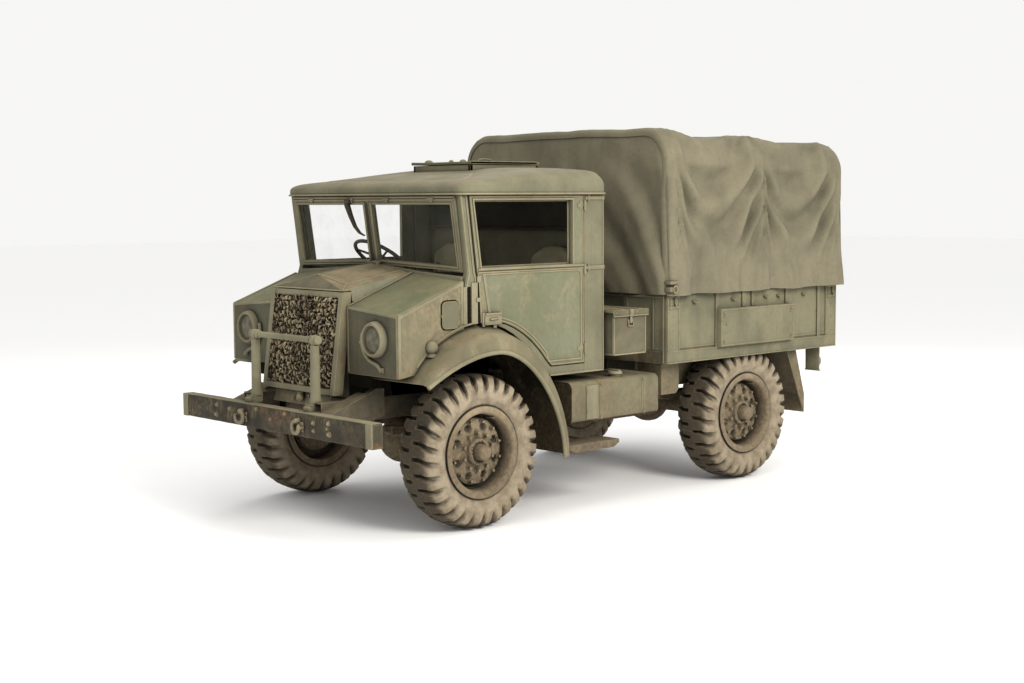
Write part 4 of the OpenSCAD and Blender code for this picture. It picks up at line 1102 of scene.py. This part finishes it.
def bumper():
    bm = bmesh.new()
    xs = [lerp(-1045, 1045, k / 60) for k in range(61)]
    section = [(-838, 763), (-908, 763), (-912, 761), (-914, 757), (-914, 700), (-914, 660), (-914, 620),
               (-912, 616), (-908, 614), (-838, 614), (-838, 622), (-900, 622), (-906, 628), (-906, 749),
               (-900, 755), (-838, 755)]
    rows = []
    for x in xs:
        dent = 3.5 * noise.noise(Vector((x / 170, 0, 1))) * smooth(1045, 900, abs(x))
        rows.append([at(x, y + dent, z + 1.6 * noise.noise(Vector((x / 90, y, z / 60))))
                     for y, z in section])
    verts = grid_mesh(bm, rows, closed_u=True)
    bm.faces.new(verts[0])
    bm.faces.new(verts[-1][::-1])
    for side in (1, -1):
        plate(bm, (side * 1037, -915, 613), (side * 1046, -838, 764), 0.002)
    obj = done(bm, "bumper_bar", "bumper", stands_for=["front_bumper"])
    second(obj, "trim", lambda f: f.normal.z > 0.6)
    bm = bmesh.new()
    for side in (1, -1):
        plate(bm, (side * 985, -918, 613), (side * 1047, -912, 764), 0.002)
        for z in (650, 690, 730):
            rivet(bm, at(side * 1012, -918, z), (0, -1, 0), 0.006)
    done(bm, "bumper_ends", "trim")
    bm = bmesh.new()
    for x, z, r in ((465, 712, 0.012), (465, 664, 0.01), (620, 724, 0.012), (628, 660, 0.014),
                    (607, 690, 0.009), (160, 738, 0.01), (-160, 738, 0.01), (-465, 712, 0.012),
                    (-620, 724, 0.012), (-628, 660, 0.013), (0, 690, 0.008)):
        bolt(bm, at(x, -913, z), (0, -1, 0), r, r)
    for side in (1, -1):
        c = at(side * 313, -914, 676)
        plate(bm, (side * 262, -924, 644), (side * 362, -912, 708), 0.006)
        turned(bm, c + Vector((0, 0, 0.036)), (0, -1, 0), [(0.017, 0), (0.016, 0.03), (0.012, 0.036)], 16)
        ring = []
        for k in range(25):
            a = math.radians(100 + 285 * k / 24)
            r = 0.036 + 0.004 * k / 24
            ring.append(c + Vector((side * math.cos(a) * r, -0.024 - 0.012 * k / 24, math.sin(a) * r)))
        ring += [ring[-1] + Vector((side * 0.004, 0.004, -0.012)),
                 ring[-1] + Vector((side * 0.012, 0.016, -0.026))]
        tube(bm, ring, [0.0125] * 20 + [0.012, 0.0115, 0.011, 0.0105, 0.01, 0.009, 0.007], 14)
        for x in (-46, 46):
            bolt(bm, c + Vector((x / 1000, -0.008, 0.0)), (0, -1, 0), 0.009, 0.009)
    bmesh.ops.recalc_face_normals(bm, faces=bm.faces)
    rough_up(bm, 0.0012, 60)
    done(bm, "tow_hooks", "pale")
    bm = bmesh.new()
    for side in (1, -1):
        top = at(side * 327, -800, 1200)
        turned(bm, top, (0, 0, 1), [(0, -0.034), (0.022, -0.03), (0.033, -0.014), (0.036, 0), (0.033, 0.014),
                                    (0.022, 0.027), (0, 0.032)], 28)
        for d in (-1, 1):
            turned(bm, top + Vector((d * 0.028, 0, 0)), (d, 0, 0), [(0.027, 0), (0.028, 0.012),
                                                                    (0.022, 0.018)], 22)
        bolt(bm, top + Vector((side * 0.03, 0, 0)), (side, 0, 0), 0.013, 0.01)
        plate(bm, (side * 297, -830, 790), (side * 357, -770, 818), 0.006)
        for x, y in ((300, -850), (354, -850), (354, -786), (300, -786)):
            bolt(bm, at(side * x, y, 800), (0, 0, 1), 0.007, 0.007)
        turned(bm, at(side * 327, -800, 806), (0, 0, 1), [(0.038, 0), (0.038, 0.022), (0.032, 0.032),
                                                          (0.028, 0.36), (0.022, 0.366)], 28)
    tube(bm, [at(x, -800, 1200) for x in (-300, -290, 290, 300)], [0.023, 0.019, 0.019, 0.023], 20)
    done(bm, "guard_joints", "trim")
    bm = bmesh.new()
    plate(bm, (-26, -694, 800), (26, -676, 846), 0.004)
    turned(bm, at(20, -692, 812), (0, -1, 0), [(0.022, 0), (0.022, 0.02), (0.014, 0.032), (0, 0.034)], 16)
    bolt(bm, at(-70, -684, 800), (0, -1, 0), 0.01, 0.01)
    bolt(bm, at(90, -676, 826), (0, -1, 0), 0.009, 0.01)
    done(bm, "starter_boss", "pale")


bumper()

# ---- Cab details ----


def door_edge(i, gap=0.0, steps=8):
    t = 0.475 + 0.305 * i / steps
    return root_line(t, 14 + 66 * i / steps + gap)


def cab_details():
    for side, body in ((1, "left_door"), (-1, "right_door")):
        n = (side, 0, 0)
        bm = bmesh.new()
        low = [tuple(door_edge(k / 2, 26)) for k in range(2, 16)]
        panel = [(74, 1588), (929, 1588), (929, 1004), (low[-1][0] + 22, 1004)] + low[::-1]
        strip(bm, side_line(side * 905, panel), 0.011, 0.0045, n, closed=True)
        edge = [tuple(door_edge(k / 2, 8)) for k in range(0, 17)]
        strip(bm, side_line(side * 905, [(30, 1596), (40, 1560)] + edge + [(edge[-1][0] + 34, 982),
                                                                           (949, 982), (949, 2070),
                                                                           (-28, 2070), (30, 1608)]), 0.009,
              0.003, n)
        for z, w, proud in ((1619, 0.013, 0.009), (1600, 0.010, 0.006)):
            strip(bm, side_line(side * 905, [(32, z), (955, z)]), w, proud, n)
        gap = [(-6, 2054), (56, 1621), (860, 1621), (860, 2054)]
        strip(bm, side_line(side * 905, gap), 0.012, 0.006, n, closed=True)
        strip(bm, side_line(side * 867, [(8, 2044), (66, 1633), (848, 1633), (848, 2044)]), 0.012, 0.006, n,
              closed=True)
        # Latch case, its pull, and the diagonal check strap
        plate(bm, (side * 903, 72, 1271), (side * 925, 210, 1340), 0.005)
        plate(bm, (side * 903, 76, 1334), (side * 930, 206, 1346), 0.003)
        plate(bm, (side * 903, 58, 1262), (side * 916, 78, 1350), 0.003)
        plate(bm, (side * 903, 150, 1248), (side * 916, 176, 1272), 0.003)
        tube(bm, [at(side * x, y, z) for x, y, z in ((922, 180, 1312), (936, 176, 1312), (938, 150, 1310),
                                                      (936, 104, 1308))], 0.005, 10)
        for y, z in ((84, 1282), (198, 1282), (84, 1328), (198, 1328)):
            rivet(bm, at(side * 925, y, z), n, 0.005)
        strip(bm, side_line(side * 905, [(84, 1590), (98, 1500), (128, 1348)]), 0.009, 0.005, n)
        for z in (1070, 1590, 2010):
            turned(bm, at(side * 912, 961, z - 32), (0, 0, 1), [(0.0095, 0), (0.0095, 0.064)], 14)
            plate(bm, (side * 904, 900, z - 12), (side * 909, 958, z + 12), 0.0015)
            for y in (912, 938):
                rivet(bm, at(side * 909, y, z), n, 0.005)
        done(bm, body + "_trim", "trim", body)
    # Fixed trim: drip mouldings, pillar beads, straps on the quarter panels
    bm = bmesh.new()
    strip(bm, side_line(900, [(968, 2078), (968, 912)]), 0.007, 0.004, (1, 0, 0))
    strip(bm, side_line(900, [(1143, 2078), (1143, 912)]), 0.01, 0.004, (1, 0, 0))
    strip(bm, side_line(900, [(-100, 2078), (-96, 2040), (-38, 1600), (-66, 1500), (-70, 1290)]), 0.012,
          0.005, (1, 0, 0))
    strip(bm, side_line(900, [(-62, 2078), (-4, 1604), (12, 1560), (12, 1290)]), 0.008, 0.005, (1, 0, 0))
    strip(bm, side_line(900, [(650, 912), (1146, 912)]), 0.012, 0.004, (1, 0, 0))
    for z in (2060, 1600):
        plate(bm, (898, 972, z - 13), (908, 1152, z + 13), 0.003)
        plate(bm, (898, 972, z - 3), (911, 1150, z + 3), 0.0015)
        turned(bm, at(907, 1000, z - 20), (0, 0, 1), [(0.008, 0), (0.008, 0.04)], 12)
        for y in (1030, 1080, 1130):
            rivet(bm, at(908, y, z + 8), (1, 0, 0), 0.004)
    plate(bm, (898, 20, 1540), (912, 50, 1580), 0.003)
    plate(bm, (898, 12, 1420), (914, 40, 1446), 0.003)
    mirrored(bm)
    strip(bm, [at(-900, 1152, 1600), at(900, 1152, 1600)], 0.01, 0.004, (0, 1, 0))
    strip(bm, [at(-896, 1151, 1150), at(896, 1151, 1150)], 0.01, 0.004, (0, 1, 0))
    for x in (-450, 450):
        strip(bm, [at(x, 1151, 2070), at(x, 1151, 912)], 0.01, 0.004, (0, 1, 0))
    done(bm, "cab_trim", "trim")
    # Beads round the windscreen panes, its centre post and header, and its hinges
    lean = math.radians(8.1)
    up = Vector((0, -math.sin(lean), math.cos(lean)))
    face = Vector((0, -math.cos(lean), -math.sin(lean)))
    base = at(0, -54, 1602)

    def on_screen(x, h, out):
        return base + Vector((x / 1000, 0, 0)) + up * h / 1000 + face * out / 1000
    bm = bmesh.new()
    for s in (-1, 1):
        for grow, w, proud in ((9, 0.011, 0.005), (26, 0.008, 0.003)):
            pane = [(26 - grow, 62 - grow), (26 - grow, 424 + grow), (812 + grow, 424 + grow),
                    (812 + grow, 38 - grow)]
            if grow > 20:
                pane = [(p[0] + (14 if p[0] < 30 else 0), p[1]) for p in pane]
            strip(bm, [on_screen(s * x, h, 0) for x, h in pane], w, proud, face, closed=True)
        for x in (190, 640):
            turned(bm, on_screen(s * x - 30, 462, 6), (1, 0, 0), [(0.009, 0), (0.009, 0.06)], 12)
            box(bm, on_screen(s * x - 16, 440, 0), on_screen(s * x + 16, 466, 8), 0.002)
    for x in (-56, 16):
        strip(bm, [on_screen(x, 34, 2), on_screen(x, 440, 2)], 0.018, 0.008, face)
    for h, w in ((456, 0.009), (472, 0.011)):
        strip(bm, [on_screen(-858, h, 0), on_screen(858, h, 0)], w, 0.007, face)
    done(bm, "windscreen_beads", "trim")
    # One hanging wiper, and the dark gap down the centre post
    bm = bmesh.new()
    line = [(-214, 452, 24), (-208, 420, 26), (-190, 350, 22), (-162, 280, 18), (-126, 240, 15),
            (-80, 222, 14)]
    tube(bm, [on_screen(*q) for q in line], [0.026, 0.025, 0.021, 0.017, 0.014, 0.01], 12, flat=0.3)
    box(bm, on_screen(-236, 436, 2), on_screen(-192, 470, 30), 0.004)
    strip(bm, [on_screen(-30, 36, 1), on_screen(-30, 438, 1)], 0.034, 0.004, face)
    done(bm, "wipers", "inside")


cab_details()


def cushion(name, low, high, arch=False):
    """A stuffed seat piece with a crowned face, soft corners and a sag."""
    bm = bmesh.new()
    box(bm, at(*low), at(*high))
    bmesh.ops.subdivide_edges(bm, edges=bm.edges[:], cuts=11, use_grid_fill=True)
    lo, hi = at(*low), at(*high)
    mid, half = (lo + hi) / 2, (hi - lo) / 2
    half = Vector([abs(v) for v in half])
    for v in bm.verts:
        q = Vector([(v.co[k] - mid[k]) / half[k] for k in range(3)])
        n = 5.0
        size = (abs(q.x) ** n + abs(q.y) ** n + abs(q.z) ** n) ** (1 / n)
        q /= max(size, 0.0001)
        if arch:
            q.x *= 1 - 0.42 * smooth(0.25, 1.0, q.z) ** 2
            q.z *= 1 - 0.10 * abs(q.x) ** 3
            q.y *= 1 - 0.35 * smooth(0.6, 1.0, q.z)
        v.co = mid + Vector([q[k] * half[k] for k in range(3)])
        v.co += Vector((0, 0, 0.005)) * noise.noise(v.co * 6) + Vector((0, 0.006, 0)) * noise.noise(v.co * 8)
        if not arch:
            v.co.z -= 0.02 * (1 - min(1, (q.x ** 2 + q.y ** 2))) * (q.z > 0.5)
    obj = done(bm, name, "seat", stands_for=["seats"], angle=80)


for side, name in ((1, "left"), (-1, "right")):
    xs = sorted((side * 305, side * 745))
    cushion(f"seat_{name}_base", (xs[0], 590, 1266), (xs[1], 1010, 1404))
    cushion(f"seat_{name}_back", (xs[0] + 10, 1012, 1412), (xs[1] - 10, 1112, 1732), True)


def interior():
    bm = bmesh.new()
    plate(bm, (-850, 0, 1560), (850, 24, 1600), 0.006)
    plate(bm, (-120, 10, 1440), (120, 34, 1560), 0.006)
    for x, z, r in ((-60, 1500, 0.034), (30, 1500, 0.034), (90, 1530, 0.014), (90, 1475, 0.014)):
        turned(bm, at(x, 34, z), (0, 1, 0), [(r, 0), (r, 0.006), (r * 0.85, 0.009), (r * 0.8, 0.004),
                                             (0, 0.004)], 28)
    for x, y, tall in ((-40, 430, 300), (60, 470, 240)):
        tube(bm, [at(x, y, 1300), at(x, y + 20, 1300 + tall * 0.6), at(x, y + 60, 1300 + tall)], 0.008, 10)
        turned(bm, at(x, y + 60, 1290 + tall), (0, 0.4, 1), [(0, 0), (0.018, 0.006), (0.022, 0.02),
                                                             (0.014, 0.034), (0, 0.038)], 18)
    # Rear wall: upper panel and its ledge
    plate(bm, (-840, 1106, 1862), (840, 1120, 2060), 0.004)
    plate(bm, (-850, 1090, 1838), (850, 1120, 1860), 0.004)
    done(bm, "cab_inside", "inside")


interior()

# ---- Load bed, toolboxes, tanks ----


def bed_details():
    bm = bmesh.new()
    # Bolted plate on each side, with a rolled frame and corner fittings
    strip(bm, side_line(1070, [(2172, 1012), (2172, 1262), (2993, 1262), (2993, 1012)]), 0.008, 0.002,
          (1, 0, 0), closed=True)
    for y, z in ((2200, 1240), (2965, 1240), (2200, 1036), (2965, 1036), (2225, 1160)):
        bolt(bm, at(1070, y, z), (1, 0, 0), 0.008, 0.007)
    for y in (2190, 2950):
        plate(bm, (1068, y, 1212), (1075, y + 30, 1222), 0.001)
    # Top rail, stake pockets, and cleats with loops under the hem
    strip(bm, side_line(1018, [(1765, 1440), (3440, 1440)]), 0.018, 0.008, (1, 0, 0))
    strip(bm, side_line(1018, [(1767, 1022), (2160, 1022)]), 0.012, 0.005, (1, 0, 0))
    strip(bm, side_line(1018, [(3004, 1022), (3440, 1022)]), 0.012, 0.005, (1, 0, 0))
    for y in (2155, 2450, 2555, 2950, 3340):
        strip(bm, side_line(1026, [(y + 14, 1276 if 2160 < y < 3000 else 1004), (y + 14, 1448)]), 0.034,
              0.005, (1, 0, 0))
        for z in (1300, 1420):
            rivet(bm, at(1031, y + 14, z), (1, 0, 0), 0.006)
    for y in (1910, 2330, 2700, 2850, 3150):
        plate(bm, (1016, y, 1330), (1034, y + 42, 1342), 0.003)
        tube(bm, [at(1030, y + 4, 1336), at(1044, y + 8, 1330), at(1044, y + 34, 1330),
                  at(1030, y + 38, 1336)], 0.005, 8)
    # Corner posts with hinge straps, pin and latch
    for y0 in (1646, 3448):
        plate(bm, (1028, y0 + 6, 1296), (1038, y0 + 116, 1312), 0.003)
        plate(bm, (1028, y0 + 6, 1372), (1038, y0 + 116, 1390), 0.003)
        plate(bm, (1028, y0 + 20, 1290), (1036, y0 + 34, 1396), 0.002)
        plate(bm, (1028, y0 + 62, 1326), (1042, y0 + 84, 1384), 0.003)
        turned(bm, at(1042, y0 + 73, 1310), (0, 0, 1), [(0.007, 0), (0.007, 0.08), (0.011, 0.082),
                                                        (0.011, 0.09)], 14)
        strip(bm, side_line(1030, [(y0 + 3, 1006), (y0 + 3, 1446)]), 0.008, 0.003, (1, 0, 0))
        strip(bm, side_line(1030, [(y0 + 117, 1006), (y0 + 117, 1446)]), 0.008, 0.003, (1, 0, 0))
        for z in (1040, 1140, 1240):
            rivet(bm, at(1030, y0 + 60, z), (1, 0, 0), 0.007)
    strip(bm, side_line(1030, [(1650, 999), (3568, 999)]), 0.008, 0.003, (1, 0, 0))
    strip(bm, side_line(1030, [(1650, 920), (3568, 920)]), 0.009, 0.004, (1, 0, 0))
    for k in range(13):
        rivet(bm, at(1030, 1700 + 150 * k, 962), (1, 0, 0), 0.006)
    # Front wall: frame beads
    strip(bm, [at(1002, 1634, z) for z in (922, 1446)], 0.012, 0.004, (0, -1, 0))
    for x in (985, 900):
        strip(bm, [at(x, 1643, z) for z in (1010, 1372)], 0.014, 0.006, (0, -1, 0))
    strip(bm, [at(990, 1636, 1376), at(0, 1636, 1376)], 0.012, 0.005, (0, -1, 0))
    mirrored(bm)
    done(bm, "bed_fittings", "body")
    # Tailgate: hinges, straps, beads and locking handles
    bm = bmesh.new()
    for x in (-945, -315, 315, 945):
        turned(bm, at(x - 30, 3587, 1004), (1, 0, 0), [(0.015, 0), (0.015, 0.06)], 14)
        plate(bm, (x - 18, 3600, 1000), (x + 18, 3610, 1090), 0.003)
        for z in (1030, 1066):
            bolt(bm, at(x, 3610, z), (0, 1, 0), 0.009, 0.006)
    for side in (1, -1):
        plate(bm, (side * 930, 3602, 1340), (side * 985, 3614, 1362), 0.003)
        tube(bm, [at(side * 958, 3612, 1351), at(side * 958, 3628, 1345), at(side * 958, 3630, 1290)], 0.006,
             10)
    strip(bm, [at(-985, 3604, 1372), at(985, 3604, 1372)], 0.016, 0.006, (0, 1, 0))
    strip(bm, [at(-985, 3604, 1020), at(985, 3604, 1020)], 0.014, 0.005, (0, 1, 0))
    done(bm, "tailgate_fittings", "trim", "tailgate")
    # Rear lamps, reflectors and mud flap stays
    bm = bmesh.new()
    plate(bm, (800, 3500, 722), (930, 3510, 914), 0.003)
    plate(bm, (796, 3496, 716), (936, 3516, 726), 0.003)
    turned(bm, at(865, 3508, 790), (0, 1, 0), [(0.052, 0), (0.054, 0.01), (0.05, 0.04), (0.044, 0.046),
                                               (0.042, 0.04), (0, 0.038)], 36)
    turned(bm, at(865, 3508, 872), (0, 1, 0), [(0.028, 0), (0.028, 0.012), (0.022, 0.016), (0, 0.017)], 24)
    for x, z in ((812, 900), (918, 900), (812, 736), (918, 736)):
        bolt(bm, at(x, 3510, z), (0, 1, 0), 0.007, 0.006)
    tube(bm, [at(820, 3140, 912), at(822, 3180, 780), at(822, 3262, 620)], 0.008, 8)
    mirrored(bm)
    done(bm, "rear_lamps", "lamp")


bed_details()


def box_details():
    for side, body in ((1, "toolbox_lid_left"), (-1, "toolbox_lid_right")):
        bm = bmesh.new()
        for y in (1260, 1430):
            plate(bm, (side * 700, y - 13, 1306), (side * 976, y + 13, 1311), 0.0015)
        plate(bm, (side * 972, 1327, 1262), (side * 981, 1360, 1312), 0.003)
        plate(bm, (side * 966, 1333, 1216), (side * 975, 1354, 1266), 0.004)
        turned(bm, at(side * 978, 1344, 1286), (side, 0, 0), [(0.009, 0), (0.009, 0.006), (0.006, 0.009)], 14)
        strip(bm, side_line(side * 974, [(1176, 1266), (1510, 1266)]), 0.007, 0.003, (side, 0, 0))
        for y in (1200, 1300, 1400, 1486):
            rivet(bm, at(side * 974, y, 1290), (side, 0, 0), 0.005)
        strip(bm, [at(side * x, 1171, 1296) for x in (466, 972)], 0.012, 0.003, (0, -1, 0))
        done(bm, body + "_hasp", "trim", body)
    bm = bmesh.new()
    loop = [(1322, 1222), (1322, 1196), (1365, 1196), (1365, 1222)]
    tube(bm, side_line(968, loop), 0.005, 8)
    plate(bm, (959, 1318, 1216), (966, 1369, 1240), 0.002)
    for y in (1189, 1496):
        strip(bm, side_line(960, [(y, 1006), (y, 1260)]), 0.01, 0.003, (1, 0, 0))
    strip(bm, side_line(960, [(1187, 1008), (1498, 1008)]), 0.01, 0.003, (1, 0, 0))
    strip(bm, [at(478, 1185, 1260), at(478, 1185, 1010), at(952, 1185, 1010), at(952, 1185, 1260)], 0.012,
          0.003, (0, -1, 0))
    # Tank straps, their bolts, filler caps and ribs
    for y in (1055, 1470):
        for z in (598, 822):
            bolt(bm, at(953, y + 16, z), (1, 0, 0), 0.008, 0.008)
        strip(bm, side_line(953, [(y + 3, 606), (y + 3, 814)]), 0.004, 0.0015, (1, 0, 0))
        strip(bm, side_line(953, [(y + 29, 606), (y + 29, 814)]), 0.004, 0.0015, (1, 0, 0))
    plate(bm, (944, 930, 596), (957, 1046, 822), 0.006)
    for y in (936, 1040):
        strip(bm, side_line(957, [(y, 604), (y, 814)]), 0.006, 0.003, (1, 0, 0))
    turned(bm, at(860, 1300, 868), (0, 0, 1), [(0.05, 0), (0.05, 0.012), (0.046, 0.018), (0.02, 0.02),
                                               (0, 0.02)], 28)
    plate(bm, (815, 1292, 886), (905, 1308, 896), 0.003)
    mirrored(bm)
    done(bm, "box_and_tank_trim", "trim")


box_details()


def springs():
    bm = bmesh.new()
    seat, pitch, leaves, rise = 546, 9, 7, 42
    for side in (1, -1):
        for y0, reach in ((0, 500), (2565, 580)):
            for k in range(leaves):
                span = reach * (1 if k == leaves - 1 else 1 - 0.68 * (leaves - 1 - k) / leaves)
                rows = []
                for j in range(25):
                    y = lerp(-span, span, j / 24)
                    z = seat + pitch * k + rise * (y / reach) ** 2
                    rows.append([at(side * 395 + dx, y0 + y, z + dz) for dx,
                                 dz in ((-29, 0.6), (-30, 2), (-30, 6.5), (-28, 8.4), (28, 8.4), (30, 6.5),
                                        (30, 2), (29, 0.6))])
                verts = grid_mesh(bm, rows, closed_u=True)
                bm.faces.new(verts[0])
                bm.faces.new(verts[-1][::-1])
            for e in (-1, 1):
                turned(bm, at(side * 395 - 30, y0 + e * reach, 641), (1, 0, 0),
                       [(0.0125, 0), (0.021, 0), (0.021, 0.06), (0.0125, 0.06)], 22)
                plate(bm, (side * 395 - 33, y0 + e * reach * 0.55 - 12, seat + 22), (side * 395 + 33,
                      y0 + e * reach * 0.55 + 12, seat + 80), 0.002)
                for x in (-36, 36):
                    tube(bm, [at(side * 395 + x, y0 + e * 48, seat - 60), at(side * 395 + x, y0 + e * 48,
                                                                             seat + 78)], 0.007, 10)
            plate(bm, (side * 395 - 44, y0 - 64, seat + 62), (side * 395 + 44, y0 + 64, seat + 74), 0.003)
    done(bm, "spring_leaves", "frame", stands_for=["leaf_springs"])


springs()


def axle_details():
    """Differential covers with their bolts."""
    bm = bmesh.new()
    for x0, y0, sign in ((180, 0, 1), (0, 2565, -1)):
        for k in range(12):
            a = 2 * math.pi * k / 12
            bolt(bm, at(x0 + 88 * math.cos(a), y0 - sign * 118, 486 + 88 * math.sin(a)), (0, -sign, 0), 0.009,
                 0.008)
        turned(bm, at(x0, y0 - sign * 40, 486), (0, -sign, 0), [(0.11, 0), (0.11, 0.074), (0.1, 0.08),
                                                                (0.072, 0.098), (0.03, 0.108), (0, 0.11)], 40)
        turned(bm, at(x0, y0 + sign * (186 if sign > 0 else 226), 486), (0, sign, 0),
               [(0.07, 0), (0.07, 0.012)], 24)
    rough_up(bm, 0.002, 40)
    done(bm, "axle_covers", "axle")


axle_details()

# ---- Floor, light and camera ----


def studio():
    mesh = bpy.data.meshes.new("floor")
    bm = bmesh.new()
    grid_mesh(bm, [[Vector((x, y, -0.0005)) for x in (-60, 60)] for y in (-60, 60)])
    bm.to_mesh(mesh)
    bm.free()
    floor = bpy.data.objects.new("floor", mesh)
    bpy.context.scene.collection.objects.link(floor)
    n = Nodes("pale_floor")
    n.shader.inputs["Base Color"].default_value = (0.97, 0.97, 0.97, 1)
    n.shader.inputs["Roughness"].default_value = 0.9
    mesh.materials.append(n.mat)
    world = bpy.data.worlds.new("studio")
    bpy.context.scene.world = world
    world.use_nodes = True
    sky = world.node_tree.nodes["Background"]
    sky.inputs[0].default_value = (1.0, 0.995, 0.98, 1)
    sky.inputs[1].default_value = 0.93
    for name, place, aim, size, power, colour in (
            ("key", (8.5, -1.2, 5.6), (0, 0, 1.2), 4.0, 760, (1.0, 0.97, 0.91)),
            ("fill", (-5.0, -8.5, 5.0), (0, -1, 1.2), 5.0, 20, (0.95, 0.97, 1.0)),
            ("top", (1.0, 1.0, 8.5), (0, 0, 1.0), 5.0, 90, (1.0, 0.98, 0.94)),
            ("back", (-6.0, 6.5, 5.0), (0, 0, 1.4), 4.0, 200, (1.0, 1.0, 1.0))):
        data = bpy.data.lights.new(name, "AREA")
        data.shape = "DISK"
        data.size, data.energy, data.color = size, power, colour
        lamp = bpy.data.objects.new(name, data)
        bpy.context.scene.collection.objects.link(lamp)
        lamp.location = place
        lamp.rotation_euler = (Vector(aim) - Vector(place)).to_track_quat("-Z", "Y").to_euler()


def camera():
    turn, pitch, roll = (math.radians(v) for v in (47.58, 5.24, -0.35))
    forward = Vector((-math.sin(turn) * math.cos(pitch), math.cos(turn) * math.cos(pitch), -math.sin(pitch)))
    right = Vector((math.cos(turn), math.sin(turn), 0))
    up = right.cross(forward)
    across = right * math.cos(roll) + up * math.sin(roll)
    above = up * math.cos(roll) - right * math.sin(roll)
    data = bpy.data.cameras.new("camera")
    data.lens, data.sensor_width = 54.84, 36
    data.clip_end = 300
    cam = bpy.data.objects.new("camera", data)
    bpy.context.scene.collection.objects.link(cam)
    cam.matrix_world = Matrix.Translation((8.179, -7.664, 2.058)) @ Matrix(
        (across, above, -forward)).transposed().to_4x4()
    bpy.context.scene.camera = cam


studio()
camera()
bpy.context.scene.view_settings.view_transform = "Standard"
